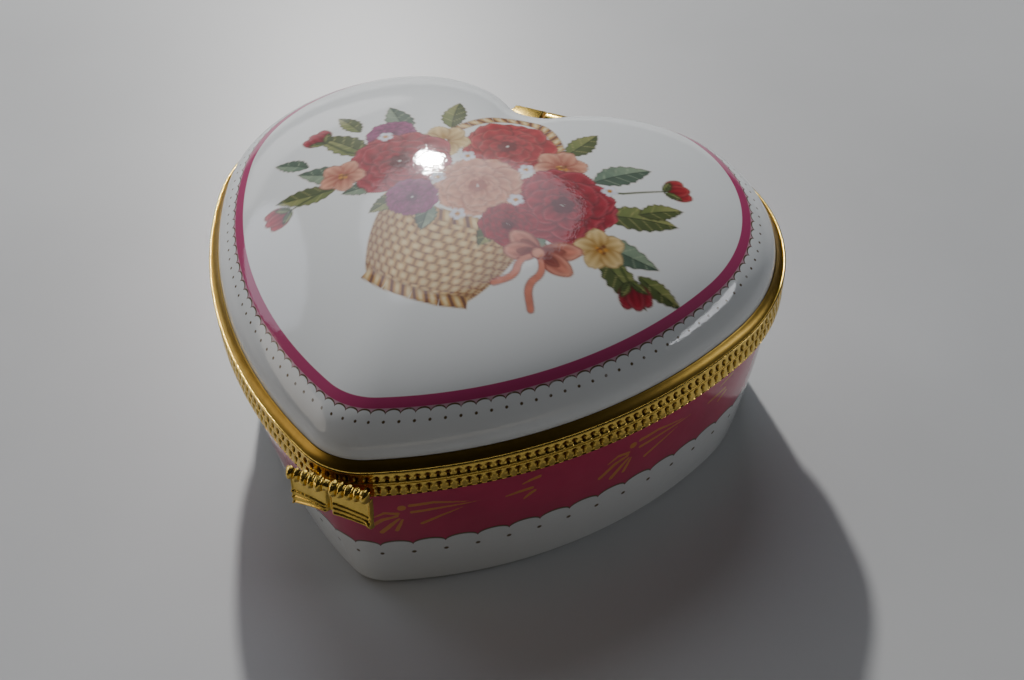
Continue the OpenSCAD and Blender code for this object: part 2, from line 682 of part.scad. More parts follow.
frame_screw_spots = [[plate_x - small_head_r - 0.85, train_y - 1], [tab_x + small_head_r + 0.15, fan_c.y]];
module frame_screws() {
    color("#d0d2d4") for (p = concat(frame_screw_spots, bridge_screw_spots))
        translate([p.x, p.y, bed_top + foot_t]) slotted_screw(small_head_r, small_head_h, small_screw_r, foot_t + bed_t / 2);
}

module governor_arbor() {
    color("#b9bcc0") cross_shaft(tab_x - 0.1, plate_x + plate_t + 0.1, gov_y, fine_shaft_r);
}

module governor_pinion() {
    color("#b9bcc0") cross_gear(gear_x, gov_y, gear_w, fine_module, gov_pinion_teeth,
        180, 0.3, 0.46, 0.16, fine_shaft_r);
}

module worm_wheel() {
    color("#c99b3f") cross_gear(wheel_x, gov_y, wheel_w, fine_module, wheel_teeth,
        0, 0.12, 0.42, 0.26, fine_shaft_r);
}

module worm_screw() {
    turns = 4;
    thread_l = worm_lead * turns;
    depth = 0.28;
    color("#b9bcc0") translate([fan_c.x, fan_c.y, 0]) {
        translate([0, 0, bed_top + 0.35]) cylinder(r = worm_shaft_r, h = arm_z + 0.9 - bed_top);
        // a groove, not a thread, faces the wheel at its axis height
        translate([0, 0, axis_z - thread_l / 2]) rotate(90)
            linear_extrude(thread_l, twist = -360 * turns, slices = 12 * turns)
            translate([depth, 0]) circle(r = worm_r, $fn = 12);
    }
}

module governor_fan() {
    color("#c99b3f") translate([fan_c.x, fan_c.y, 0]) difference() {
        union() {
            translate([0, 0, fan_z0]) cylinder(r = 1.1, h = fan_z1 - fan_z0);
            translate([-fan_r + 0.15, -0.15, fan_z0]) cube([2 * fan_r - 0.3, 0.3, fan_z1 - fan_z0]);
        }
        translate([0, 0, fan_z0 - 1]) cylinder(r = worm_shaft_r, h = 8);
    }
}

// ---- fixed parts of the movement ----
module bedplate() {
    color("#c3c6c8") difference() {
        translate([-bed_half, bed_front, bed_z]) cube([2 * bed_half, bed_w, bed_t]);
        translate([barrel_c.x, barrel_c.y, 0]) cylinder(r = arbor_r + run_gap, h = 40);
        for (p = screw_spots) translate([p.x, p.y, bed_z - 1]) cylinder(r = screw_r + run_gap, h = bed_t + 0.7);
        for (p = concat(frame_screw_spots, bridge_screw_spots))
            translate([p.x, p.y, bed_z + 0.4]) cylinder(r = small_screw_r + run_gap, h = bed_t);
    }
}

module movement_screws() {
    color("#d0d2d4") for (p = screw_spots) translate([p.x, p.y, recess_h - 0.7]) mirror([0, 0, 1])
        slotted_screw(2.2, 1.4, screw_r, floor_t + 0.7 + bed_t - 0.5);
}

module screw_washers() {
    color("#3a3a3a") for (p = screw_spots) translate([p.x, p.y, recess_h - 0.7]) difference() {
        cylinder(r = 3, h = 0.7);
        translate([0, 0, -1]) cylinder(r = screw_r + 0.1, h = 3);
    }
}

module dust_cover() {
    half_x = bed_half + cover_gap;
    y0 = bed_front - cover_gap;
    y1 = bed_back + cover_gap;
    color("#dfe8ea", 0.3) difference() {
        translate([-half_x - cover_t, y0 - cover_t, floor_z])
            cube([2 * (half_x + cover_t), y1 - y0 + 2 * cover_t, cover_top - floor_z]);
        translate([-half_x, y0, floor_z - 1]) cube([2 * half_x, y1 - y0, cover_top - cover_t - floor_z + 1]);
        // slot for the stop wire's finger
        translate([half_x - 1, wire_y - 1, wire_finger_z - 1])
            cube([cover_t + 2, 2, wire_stroke + 2]);
    }
}

module stop_wire() {
    top = inner_dome_z([wire_x, wire_y]) - 0.4;
    finger_tip = fan_c.x + fan_r + 0.2;
    color("#b9bcc0") {
        translate([wire_x, wire_y, floor_z + 0.2]) cylinder(r = wire_r, h = top - floor_z - 0.2 - wire_r);
        translate([wire_x, wire_y, top - wire_r]) sphere(r = wire_r);
        translate([finger_tip, wire_y, wire_finger_z]) rotate([0, 90, 0]) cylinder(r = wire_r, h = wire_x - finger_tip);
    }
}

module stop_guide() {
    color("#c3c6c8") translate([wire_x, wire_y, floor_z]) difference() {
        translate([-2, -2, 0]) cube([4, 4, guide_h]);
        translate([0, 0, -1]) cylinder(r = wire_r + run_gap, h = guide_h + 2);
    }
}

placed() base_shell();
placed() lower_bezel();
placed() base_hinge_leaf();
placed() hinge_pin();
placed() catch_nub();
placed() lid_shell();
placed() upper_bezel();
placed() lid_hinge_leaf();
placed() clasp_bow();
placed() bedplate();
placed() movement_screws();
placed() screw_washers();
placed() clutch_spring();
placed() winding_key();
placed() winding_arbor();
placed() barrel_drum();
placed() barrel_cap();
placed() mainspring();
placed() barrel_bridge();
placed() music_cylinder();
placed() cylinder_arbor();
placed() cylinder_pinion();
placed() cylinder_gear();
placed() comb();
placed() comb_block();
placed() comb_screws();
placed() governor_frame();
placed() frame_screws();
placed() governor_arbor();
placed() governor_pinion();
placed() worm_wheel();
placed() worm_screw();
placed() governor_fan();
placed() dust_cover();
placed() stop_wire();
placed() stop_guide();
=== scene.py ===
"""Dresses a wind up music box: a heart shaped porcelain box with a painted lid, gilt bands,
a bow clasp and a small musical movement under a clear cover. All sizes below are millimetres
unless a name says otherwise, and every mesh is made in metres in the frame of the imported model."""

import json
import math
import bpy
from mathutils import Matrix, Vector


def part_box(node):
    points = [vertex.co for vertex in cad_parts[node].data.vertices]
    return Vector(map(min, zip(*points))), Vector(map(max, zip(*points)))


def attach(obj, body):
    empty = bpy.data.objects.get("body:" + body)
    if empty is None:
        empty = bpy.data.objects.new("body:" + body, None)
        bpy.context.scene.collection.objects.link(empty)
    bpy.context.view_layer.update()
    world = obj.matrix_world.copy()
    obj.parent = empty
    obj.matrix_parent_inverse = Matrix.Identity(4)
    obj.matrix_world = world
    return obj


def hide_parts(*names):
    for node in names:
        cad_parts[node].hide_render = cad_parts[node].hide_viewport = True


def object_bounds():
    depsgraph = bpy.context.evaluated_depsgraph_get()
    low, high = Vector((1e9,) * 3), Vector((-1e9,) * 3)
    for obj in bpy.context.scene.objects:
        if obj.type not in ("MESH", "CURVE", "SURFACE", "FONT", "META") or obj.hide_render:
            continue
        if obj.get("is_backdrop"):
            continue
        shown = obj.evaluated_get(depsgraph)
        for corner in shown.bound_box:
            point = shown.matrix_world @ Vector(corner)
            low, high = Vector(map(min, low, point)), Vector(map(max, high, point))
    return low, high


bl_info = {
    "name": "Heart Music Box",
    "version": (1, 0, 0),
    "blender": (4, 5, 0),
    "location": "3D View > Sidebar > Music Box",
    "description": "Dresses a porcelain wind up music box with its glaze, painting, gilding and movement",
    "category": "Object",
}

import bmesh
import bpy
import numpy as np
from bpy.props import FloatProperty, FloatVectorProperty, IntProperty, PointerProperty
from mathutils import Matrix, Vector

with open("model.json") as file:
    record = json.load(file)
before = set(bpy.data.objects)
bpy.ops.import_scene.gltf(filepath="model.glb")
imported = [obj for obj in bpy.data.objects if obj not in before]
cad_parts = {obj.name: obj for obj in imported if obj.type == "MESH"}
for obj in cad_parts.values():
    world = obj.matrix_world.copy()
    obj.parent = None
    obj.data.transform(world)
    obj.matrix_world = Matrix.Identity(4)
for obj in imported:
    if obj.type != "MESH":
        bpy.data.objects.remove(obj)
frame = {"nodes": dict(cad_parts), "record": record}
MM = 0.001
BAND_LOW, BAND_HIGH = (np.array(corner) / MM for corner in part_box("lower_bezel"))


def linear(code):
    """An sRGB hex colour as linear RGBA."""
    parts = [int(code[i : i + 2], 16) / 255 for i in (1, 3, 5)]
    return tuple(c / 12.92 if c <= 0.04045 else ((c + 0.055) / 1.055) ** 2.4 for c in parts) + (1.0,)


def length(title, description, mm, low=0.0, high=200.0):
    return FloatProperty(
        name=title, description=description, default=mm * MM, min=low * MM, max=high * MM,
        subtype="DISTANCE", unit="LENGTH", precision=5)


def angle(title, description, degrees):
    return FloatProperty(
        name=title, description=description, default=math.radians(degrees), subtype="ANGLE", unit="ROTATION")


def tint(title, description, code):
    return FloatVectorProperty(
        name=title, description=description, default=linear(code), min=0, max=1, size=4, subtype="COLOR")


# ---------------------------------------------------------------- settings
class MusicBoxShape(bpy.types.PropertyGroup):
    """Sizes of the heart, its shells and its bands"""

    body_w: length("Width", "Width of the heart across its lobes", BAND_HIGH[0] - BAND_LOW[0])
    body_l: length("Length", "Length of the heart from the tip to the lobes", BAND_HIGH[1] - BAND_LOW[1])
    lobe_x: length("Lobe offset", "How far each lobe's centre stands from the middle", 15)
    crown_r: length("Crown radius", "Radius of the lobes beside the notch", 21)
    crown_angle: angle("Crown angle", "Where the crown's arc gives way to the lobe's", 60)
    side_r: length("Side radius", "Radius of the long sides", 72.5)
    tip_r: length("Tip radius", "Radius of the tip", 11)
    notch_r: length("Notch radius", "Radius of the notch", 6)
    dome_h: length("Dome height", "Rise of the lid above its collar", 12.5)
    lid_wall: length("Lid wall", "Thickness of the lid's porcelain", 2.6)
    base_wall: length("Base wall", "Thickness of the base's porcelain", 3)
    base_taper: length("Base taper", "How far the base draws in towards its foot", 3)
    clasp_w: length("Clasp width", "Width of the bow clasp", 11.6)


class MusicBoxDecor(bpy.types.PropertyGroup):
    """Colours and counts of the painted and gilt decoration"""

    glaze: tint("Porcelain", "White body under clear glaze", "#e9edee")
    magenta: tint("Magenta stripe", "Enamel stripe on the lid", "#b23f70")
    band_magenta: tint("Magenta band", "Redder enamel of the base's band", "#cc3562")
    print_gold: tint("Printed gold", "Fine scallops and dots", "#5f4c30")
    spray_gold: tint("Painted gold", "Leaf sprays on the base's band", "#d99140")
    gilt: tint("Gilding", "Polished gilt brass", "#efcb68")
    lid_scallops: IntProperty(name="Lid scallops", description="Scallops round the lid", default=126, min=20, max=200)
    base_scallops: IntProperty(name="Base scallops", description="Scallops round the base", default=58, min=12, max=100)
    sprays: IntProperty(name="Sprays", description="Leaf sprays round the base", default=8, min=2, max=16)
    cells: IntProperty(name="Milled cells", description="Milled cells round each band", default=206, min=40, max=300)


class MusicBoxStage(bpy.types.PropertyGroup):
    """Floor, lights and camera"""

    floor: tint("Floor", "Plain pale table", "#c8cacb")
    azimuth: angle("Azimuth", "Camera's turn from the front", 24.368)
    elevation: angle("Elevation", "Camera's height as an angle", 45.503)
    roll: angle("Roll", "Camera's tilt about its own axis", -2.043)
    distance: length("Distance", "From the camera to the point it looks at", 194.884, 20, 2000)
    aim: FloatVectorProperty(name="Aim", description="Point that the camera looks at", size=3,
                             default=(0.008358, -0.001379, 0.02), subtype="TRANSLATION", unit="LENGTH")
    lens: FloatProperty(name="Lens", description="Focal length in millimetres on a 36 mm sensor", default=46.415)


# ---------------------------------------------------------------- the heart's line
class Heart:
    """The outline that every shell and band follows, as arcs from the notch to the tip."""

    def __init__(self, shape):
        names = ("body_w", "body_l", "lobe_x", "crown_r", "side_r", "tip_r", "notch_r")
        mm = {name: getattr(shape, name) / MM for name in names}
        lobe_r = mm["body_w"] / 2 - mm["lobe_x"]
        lobe = np.array([mm["lobe_x"], 0.0])
        turn = shape.crown_angle
        crown = lobe + (lobe_r - mm["crown_r"]) * np.array([math.cos(turn), math.sin(turn)])
        top = crown[1] + mm["crown_r"]
        tip = np.array([0.0, top - mm["body_l"] + mm["tip_r"]])
        line = tip - lobe
        gap = np.linalg.norm(line)
        u = line / gap
        along = ((mm["side_r"] - lobe_r) ** 2 - (mm["side_r"] - mm["tip_r"]) ** 2 + gap**2) / (2 * gap)
        across = math.sqrt((mm["side_r"] - lobe_r) ** 2 - along**2)
        side = lobe + u * along + np.array([u[1], -u[0]]) * across
        notch = np.array([0.0, crown[1] + math.sqrt((mm["crown_r"] + mm["notch_r"]) ** 2 - crown[0] ** 2)])
        a_crown = math.atan2(notch[1] - crown[1], -crown[0])
        a_side = math.atan2(lobe[1] - side[1], lobe[0] - side[0])
        a_tip = math.atan2(tip[1] - side[1], -side[0])
        # centre, radius, first and last angle, side of the line on which the centre lies
        self.arcs = [
            (notch, mm["notch_r"], -math.pi / 2, a_crown - math.pi, -1),
            (crown, mm["crown_r"], a_crown, turn, 1),
            (lobe, lobe_r, turn, a_side, 1),
            (side, mm["side_r"], a_side, a_tip, 1),
            (tip, mm["tip_r"], a_tip, -math.pi / 2, 1),
        ]
        self.origin = np.array([0.0, BAND_HIGH[1] - top])
        self.dome_c = np.array([0.0, -5.0]) + self.origin
        self.half = sum(r * abs(b - a) for _, r, a, b, _ in self.arcs)
        self.around = 2 * self.half

    def walk(self, n):
        """n points at equal steps round the outline, from the notch over the right lobe, and their inward normals."""
        s = np.arange(n) * self.around / n
        left = s > self.half
        s = np.where(left, self.around - s, s)
        points, normals, done = np.zeros((n, 2)), np.zeros((n, 2)), 0.0
        for centre, r, a, b, inside in self.arcs:
            span = r * abs(b - a)
            here = (s >= done - 1e-9) & (s <= done + span + 1e-9)
            turn = a + (b - a) * (s[here] - done) / span
            ray = np.stack([np.cos(turn), np.sin(turn)], 1)
            points[here], normals[here] = centre + r * ray, -inside * ray
            done += span
        points[left, 0] *= -1
        normals[left, 0] *= -1
        return points + self.origin, normals

    def mean_reach(self, inset):
        """Mean distance from the dome's centre, over the points that the solid model's outline has."""
        reach = []
        for (centre, r, a, b, inside), count in zip(self.arcs, (4, 12, 9, 9, 6)):
            turn = a + (b - a) * np.arange(count) / count
            p = centre + (r - inside * inset) * np.stack([np.cos(turn), np.sin(turn)], 1) + self.origin
            reach += list(np.linalg.norm(p - self.dome_c, axis=1))
        tip = self.arcs[-1][0] + [0, inset - self.arcs[-1][1]] + self.origin
        return float(np.mean(reach + reach[1:] + [np.linalg.norm(tip - self.dome_c)]))

    def dome(self, points, normals, inset, foot_z, h, angles):
        """Rows of a dome over the outline, one for each angle of its profile, and the share of the way out of each."""
        edge = points + normals * inset
        ray = edge - self.dome_c
        r = np.linalg.norm(ray, axis=1)
        mean = self.mean_reach(inset)
        rows, shares = [], []
        for a in angles:
            s = max(math.cos(a), 0) ** (2 / 2.15)
            w = 0.75 * (1 - s)
            q = self.dome_c + ray / r[:, None] * (s * ((1 - w) * r + w * mean))[:, None]
            rows.append(np.c_[q, np.full(len(q), foot_z + h * math.sin(a) ** (2 / 1.9))])
            shares.append(s)
        return rows, shares


# heights and insets that the solid model gives
SEAM_Z = BAND_HIGH[2] - 1.3
BAND_H = 2.2
LOWER_Z = BAND_LOW[2]
UPPER_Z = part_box("upper_bezel")[0].z / MM
RIM_Z = UPPER_Z + BAND_H
COLLAR_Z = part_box("upper_bezel")[1].z / MM
LID_IN = 1.65
BASE_IN = 1.2
FLOOR_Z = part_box("bedplate")[0].z / MM
RECESS_Z = FLOOR_Z - 2.8


# map heights that no print reaches: for the closing faces, the lid's inside, and the base's inside and foot
OFF_MAP, OFF_LID_PRINT, OFF_BASE_PRINT = 50.0, 30.0, -20.0


def ridge(offset, width):
    """A smooth ridge across the offset from its crest, where it is 1."""
    return np.exp(-((offset / width) ** 2))


def base_inset(z, taper):
    return BASE_IN + taper * (1 - min(z, LOWER_Z) / LOWER_Z) ** 1.4


# ---------------------------------------------------------------- meshes
def add_object(name, data):
    obj = bpy.data.objects.new(name, data)
    bpy.context.scene.collection.objects.link(obj)
    return obj


def row_at(points, normals, inset, z):
    """The outline at a height, drawn in by an inset, or by one inset for each point."""
    return np.c_[points + normals * np.reshape(inset, (-1, 1)), np.full(len(points), z)]


def loft(name, rows, u=None, v=None, first=None, last=None, closed=False):
    """Closed mesh through rows of points in millimetres. u and v give each row's map coordinates, one more than its
    points, so that the map doesn't fold at the seam. first and last are the points that close its two ends, and
    closed joins the last row to the first instead."""
    rows = np.array(rows, float)
    m, n, _ = rows.shape
    points = [rows.reshape(-1, 3)]
    j, i = np.meshgrid(np.arange(m if closed else m - 1), np.arange(n), indexing="ij")
    k, above = (i + 1) % n, (j + 1) % m
    faces = np.stack([j * n + i, j * n + k, above * n + k, above * n + i], -1).reshape(-1, 4).tolist()
    count = m * n
    for tip, row in ((first, 0), (last, m - 1)):
        if tip is not None:
            points.append([tip])
            faces += [[row * n + a, row * n + (a + 1) % n, count] for a in range(n)]
            count += 1
    mesh = bpy.data.meshes.new(name)
    mesh.from_pydata((np.vstack(points) * MM).tolist(), [], faces)
    if u is not None:
        uv = np.zeros((len(mesh.loops), 2), np.float32)
        uv[:, 1] = OFF_MAP
        corners = np.stack([np.stack([j, i], -1), np.stack([j, i + 1], -1), np.stack([j + 1, i + 1], -1),
                            np.stack([j + 1, i], -1)], 2).reshape(-1, 2)
        uv[: len(corners), 0] = u[corners[:, 0], corners[:, 1]]
        uv[: len(corners), 1] = v[corners[:, 0], corners[:, 1]]
        mesh.uv_layers.new(name="plan").data.foreach_set("uv", uv.ravel())
    mesh.update()
    return add_object(name, mesh)


def finish_piece(obj, body, material, slot, *nodes, sharp=35):
    """Faces outwards, shades it smooth up to an angle, and puts it on its body in place of the solids."""
    mesh = obj.data
    bm = bmesh.new()
    bm.from_mesh(mesh)
    bmesh.ops.recalc_face_normals(bm, faces=bm.faces)
    bm.to_mesh(mesh)
    bm.free()
    mesh.polygons.foreach_set("use_smooth", np.ones(len(mesh.polygons), bool))
    mesh.set_sharp_from_angle(angle=math.radians(sharp))
    mesh.materials.clear()
    mesh.materials.append(material)
    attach(obj, body)
    if nodes:
        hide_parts(*nodes)
    return obj


# ---------------------------------------------------------------- shader nodes
def node(tree, kind, inputs=None, **settings):
    """Adds one node. inputs gives an input, by name or number, a value or the socket that feeds it."""
    made = tree.nodes.new("ShaderNode" + kind)
    for key, value in settings.items():
        setattr(made, key, value)
    for key, value in (inputs or {}).items():
        if isinstance(value, bpy.types.NodeSocket):
            tree.links.new(value, made.inputs[key])
        else:
            made.inputs[key].default_value = value
    return made


def clouded(tree, colour, size, detail, dark, **inputs):
    """The colour with clouds size millimetres across that take it down to dark times itself."""
    cloud = node(tree, "MapRange", {
        "Value": node(tree, "TexNoise", {
            "Vector": node(tree, "TexCoord").outputs["Object"], "Scale": 1 / (size * MM), "Detail": detail,
            **inputs,
        }).outputs[0],
        "From Min": 0.3, "From Max": 0.7, "To Min": dark,
    }).outputs[0]
    return node(tree, "MixRGB", {
        "Fac": 1.0, "Color1": colour, "Color2": cloud,
    }, blend_type="MULTIPLY").outputs[0]


# ---------------------------------------------------------------- materials
def material(name, **values):
    """A new material with a Principled shader: (material, tree, shader)."""
    made = bpy.data.materials.new(name)
    made.use_nodes = True
    tree = made.node_tree
    tree.nodes.clear()
    shader = node(tree, "BsdfPrincipled", {k.replace("_", " "): v for k, v in values.items()})
    node(tree, "OutputMaterial", {"Surface": shader.outputs[0]})
    return made, tree, shader


PORCELAIN = {"IOR": 1.5, "Specular_IOR_Level": 0.2, "Coat_Weight": 1.0, "Coat_Roughness": 0.04, "Coat_IOR": 1.5}


def glazed_porcelain(tree, shader, colour):
    """Hard paste porcelain under a clear glaze, fired: a cool, even white body seen through a hard mirror. The glaze
    has the faint orange peel it takes as it flows, in broad waves and a fine grain, which breaks up highlights."""
    body = clouded(tree, colour, 16, 2.0, 0.975)
    waves = node(tree, "TexNoise", {
        "Vector": node(tree, "TexCoord").outputs["Object"], "Scale": 1 / (1.7 * MM), "Detail": 2.0,
    }).outputs[0]
    relief = node(tree, "Math", {
        0: node(tree, "TexNoise", {
            "Vector": node(tree, "TexCoord").outputs["Object"], "Scale": 1 / (0.4 * MM), "Detail": 3.0,
        }).outputs[0],
        1: 0.35, 2: waves,
    }, operation="MULTIPLY_ADD").outputs[0]
    tree.links.new(body, shader.inputs["Base Color"])
    tree.links.new(node(tree, "Bump", {
        "Strength": 0.4, "Distance": 0.05 * MM, "Height": relief,
    }).outputs[0], shader.inputs["Coat Normal"])
    tree.links.new(node(tree, "MapRange", {
        "Value": waves, "From Min": 0, "From Max": 1, "To Min": 0.45, "To Max": 0.6,
    }).outputs[0], shader.inputs["Roughness"])


def scallops(tree, u, v, pitch, rise, level, dots, thread, dot):
    """Printed scallops with a dot at each point. u counts them, and v and the rest are millimetres: rise and level
    place their line, dots is the dots' v, and thread and dot are where the ink of line and dots begins to fade and is
    gone. Returns v's distance from the line, and where the ink lies."""
    part = node(tree, "Math", {0: u}, operation="FRACT").outputs[0]
    x = node(tree, "Math", {0: part, 1: 2.0, 2: -1.0}, operation="MULTIPLY_ADD").outputs[0]
    rest = node(tree, "Math", {
        0: node(tree, "Math", {0: x, 1: x}, operation="MULTIPLY").outputs[0], 1: -1.0, 2: 1.001,
    }, operation="MULTIPLY_ADD").outputs[0]
    line = node(tree, "Math", {
        0: node(tree, "Math", {0: rest, 1: 0.5}, operation="POWER").outputs[0], 1: rise, 2: level,
    }, operation="MULTIPLY_ADD").outputs[0]
    off = node(tree, "Math", {0: v, 1: line}, operation="SUBTRACT").outputs[0]
    shifted = node(tree, "Math", {
        0: node(tree, "Math", {0: u, 1: 0.5}, operation="ADD").outputs[0],
    }, operation="FRACT").outputs[0]
    dx = node(tree, "Math", {0: shifted, 1: pitch, 2: -pitch / 2}, operation="MULTIPLY_ADD").outputs[0]
    aim = node(tree, "CombineXYZ", {0: dx, 1: node(tree, "Math", {
        0: v, 1: dots,
    }, operation="SUBTRACT").outputs[0]}).outputs[0]
    away = node(tree, "VectorMath", {0: aim}, operation="LENGTH").outputs["Value"]
    ink = [node(tree, "MapRange", {
        "Value": value, "From Min": start, "From Max": end, "To Min": 1.0, "To Max": 0.0,
    }).outputs[0]
           for value, (start, end) in ((node(tree, "Math", {
               0: off,
           }, operation="ABSOLUTE").outputs[0], thread), (away, dot))]
    return off, node(tree, "Math", dict(enumerate(ink)), operation="MAXIMUM").outputs[0]


def plan(tree):
    """The two sockets of the map that loft gives."""
    return node(tree, "SeparateXYZ", {0: node(tree, "UVMap", uv_map="plan").outputs[0]}).outputs[:2]


def lid_porcelain(decor, pitch):
    """Glazed porcelain with the lid's prints. The map's u counts scallops, and v is millimetres out from the
    magenta stripe's middle."""
    made, tree, shader = material("porcelain glazed, lid print", **PORCELAIN)
    half, amp, clear, fade = 0.75, 0.62, 0.12, 0.05
    u, v = plan(tree)
    out = node(tree, "Math", {0: v}, operation="ABSOLUTE").outputs[0]
    # the stripe: a screened enamel with clean edges
    stripe = node(tree, "MapRange", {
        "Value": out, "From Min": half - fade, "From Max": half + fade, "To Min": 1.0, "To Max": 0.0,
    }).outputs[0]
    # the scallops' arcs touch the stripe and their points look outwards
    off, gold = scallops(tree, u, v, pitch, -amp, half + amp + clear, half + 1.75, (0.07, 0.15), (0.16, 0.25))
    # the small corners between stripe and scallops carry a thin wash of the enamel
    under = node(tree, "MapRange", {
        "Value": off, "From Min": -fade, "From Max": fade, "To Min": 0.62, "To Max": 0.0,
    }).outputs[0]
    wash = node(tree, "Math", {
        0: under, 1: node(tree, "Math", {0: v, 1: half}, operation="GREATER_THAN").outputs[0],
    }, operation="MULTIPLY").outputs[0]
    # screen printing leaves the line broken here and there
    kept = node(tree, "MapRange", {
        "Value": node(tree, "TexNoise", {
            "Vector": node(tree, "TexCoord").outputs["Object"], "Scale": 1 / (0.9 * MM), "Detail": 2.0,
        }).outputs[0],
        "From Min": 0.28, "From Max": 0.45, "To Min": 0.45,
    }).outputs[0]
    posy = node(tree, "Attribute", attribute_name="posy").outputs
    colour = node(tree, "MixRGB", {
        "Fac": posy["Alpha"], "Color1": tuple(decor.glaze), "Color2": posy["Color"],
    }).outputs[0]
    for share, ink in ((wash, decor.magenta), (stripe, decor.magenta),
                       (node(tree, "Math", {
                           0: gold, 1: kept,
                       }, operation="MULTIPLY").outputs[0], decor.print_gold)):
        colour = node(tree, "MixRGB", {"Fac": share, "Color1": colour, "Color2": tuple(ink)}).outputs[0]
    glazed_porcelain(tree, shader, colour)
    return made


def base_porcelain(decor, pitch):
    """Glazed porcelain with the base's magenta band. The map's u counts scallops, and v is the height in
    millimetres. The attribute spray is the distance in millimetres to the nearest painted stroke."""
    made, tree, shader = material("porcelain glazed, base band", **PORCELAIN)
    top, edge, amp, fade = 24.6, 12.4, 1.15, 0.05
    u, v = plan(tree)
    off, gold = scallops(tree, u, v, pitch, amp, edge - amp, edge - amp - 2.2, (0.12, 0.26), (0.25, 0.42))
    above = node(tree, "MapRange", {"Value": off, "From Min": -fade, "From Max": fade}).outputs[0]
    band = node(tree, "Math", {
        0: above,
        1: node(tree, "MapRange", {
            "Value": v, "From Min": top - fade, "From Max": top + fade, "To Min": 1.0, "To Max": 0.0,
        }).outputs[0],
    }, operation="MULTIPLY").outputs[0]
    # the enamel is brushed on by hand, so it pools a little darker over a few millimetres
    enamel = clouded(tree, tuple(decor.band_magenta), 7, 3.0, 0.88)
    # the brush leaves a ragged edge
    ragged = node(tree, "Math", {
        0: node(tree, "TexNoise", {
            "Vector": node(tree, "TexCoord").outputs["Object"], "Scale": 1 / (0.5 * MM), "Detail": 2.0,
        }).outputs[0],
        1: 0.16, 2: node(tree, "Attribute", attribute_name="spray").outputs["Fac"],
    }, operation="MULTIPLY_ADD").outputs[0]
    leaf = node(tree, "MapRange", {
        "Value": ragged, "From Min": 0.02, "From Max": 0.16, "To Min": 0.92, "To Max": 0.0,
    }).outputs[0]
    colour = tuple(decor.glaze)
    for share, ink in ((band, enamel), (leaf, tuple(decor.spray_gold)), (gold, tuple(decor.print_gold))):
        colour = node(tree, "MixRGB", {"Fac": share, "Color1": colour, "Color2": ink}).outputs[0]
    glazed_porcelain(tree, shader, colour)
    return made


# colour of the old lacquer in the milled pits, also laid in the cove as painted shade at the foot of the lid
PATINA_AND_SHADE = linear("#4f290d")


def gilt_brass(name, colour, patina_and_shade=False, roughness=0.2, hammered=0.35):
    """Stamped brass, polished and gilt: a warm mirror, broken by fine polishing scratches and the soft hammering of
    the die. With the flag on, the attribute pit darkens the milled pits with the old lacquer that stays in them, and
    the cove with old lacquer and painted shade at the foot of the lid."""
    made, tree, shader = material(name, Metallic=1.0)
    metal = clouded(tree, tuple(colour), 1.6, 4.0, 0.8, Roughness=0.65)
    rough = node(tree, "MapRange", {
        "Value": node(tree, "TexNoise", {
            "Vector": node(tree, "TexCoord").outputs["Object"], "Scale": 1 / (0.15 * MM), "Detail": 2.0,
        }).outputs[0],
        "From Min": 0, "From Max": 1, "To Min": roughness * 0.6, "To Max": roughness * 1.5,
    }).outputs[0]
    relief = node(tree, "TexNoise", {
        "Vector": node(tree, "TexCoord").outputs["Object"], "Scale": 1 / (0.38 * MM), "Detail": 2.0,
    }).outputs[0]
    if patina_and_shade:
        # the attribute pit darkens the milled pits with old lacquer, and the cove with old lacquer and painted shade
        pit = node(tree, "Attribute", attribute_name="pit").outputs["Fac"]
        metal = node(tree, "MixRGB", {"Fac": pit, "Color1": metal, "Color2": PATINA_AND_SHADE}).outputs[0]
        rough = node(tree, "Math", {0: pit, 1: 0.2, 2: rough}, operation="MULTIPLY_ADD").outputs[0]
        relief = node(tree, "Math", {
            0: relief,
            1: node(tree, "Math", {
                0: pit, 1: -1.5, 2: 1.0,
            }, operation="MULTIPLY_ADD", use_clamp=True).outputs[0],
        }, operation="MULTIPLY").outputs[0]
    tree.links.new(metal, shader.inputs["Base Color"])
    tree.links.new(rough, shader.inputs["Roughness"])
    tree.links.new(node(tree, "Bump", {
        "Strength": hammered, "Distance": 0.05 * MM, "Height": relief,
    }).outputs[0], shader.inputs["Normal"])
    return made


def turned_metal(name, colour, roughness, grain_mm, axis, strength=0.3, dark=0.8):
    """Machined metal: fine parallel tool lines along one axis, grain_mm apart, over a cloudy film."""
    made, tree, shader = material(name, Metallic=1.0)
    stretch = [1 / (grain_mm * MM)] * 3
    stretch["XYZ".index(axis)] /= 40
    place = node(tree, "Mapping", {"Vector": node(tree, "TexCoord").outputs["Object"], "Scale": stretch}).outputs[0]
    lines = node(tree, "TexNoise", {"Vector": place, "Scale": 1.0, "Detail": 2.0}).outputs[0]
    tree.links.new(clouded(tree, linear(colour), 3, 3.0, dark), shader.inputs["Base Color"])
    tree.links.new(node(tree, "MapRange", {
        "Value": lines, "From Min": 0, "From Max": 1, "To Min": roughness * 0.7, "To Max": roughness * 1.4,
    }).outputs[0], shader.inputs["Roughness"])
    tree.links.new(node(tree, "Bump", {
        "Strength": strength, "Distance": 0.02 * MM, "Height": lines,
    }).outputs[0], shader.inputs["Normal"])
    return made


# ---------------------------------------------------------------- painting
def unit(value):
    """The value held between 0 and 1."""
    return np.clip(value, 0, 1)


def soft(edge, width):
    """1 inside, 0 outside, for a distance that is positive outside."""
    return unit(0.5 - edge / width)


def mix(a, b, t):
    return a + (np.array(b)[None, :] - a) * t[:, None] if np.ndim(t) else np.array(a) + (np.array(b) - np.array(a)) * t


def rgb(code):
    return np.array(linear(code)[:3])


def polar(cx, cy, r, a, squash=1.0):
    """The point at a distance and angle from (cx, cy), on a circle that may be squashed."""
    return cx + r * math.cos(a), cy + r * math.sin(a) * squash


def flat(code, at):
    """One colour for each of the points."""
    return np.tile(rgb(code), (len(at), 1))


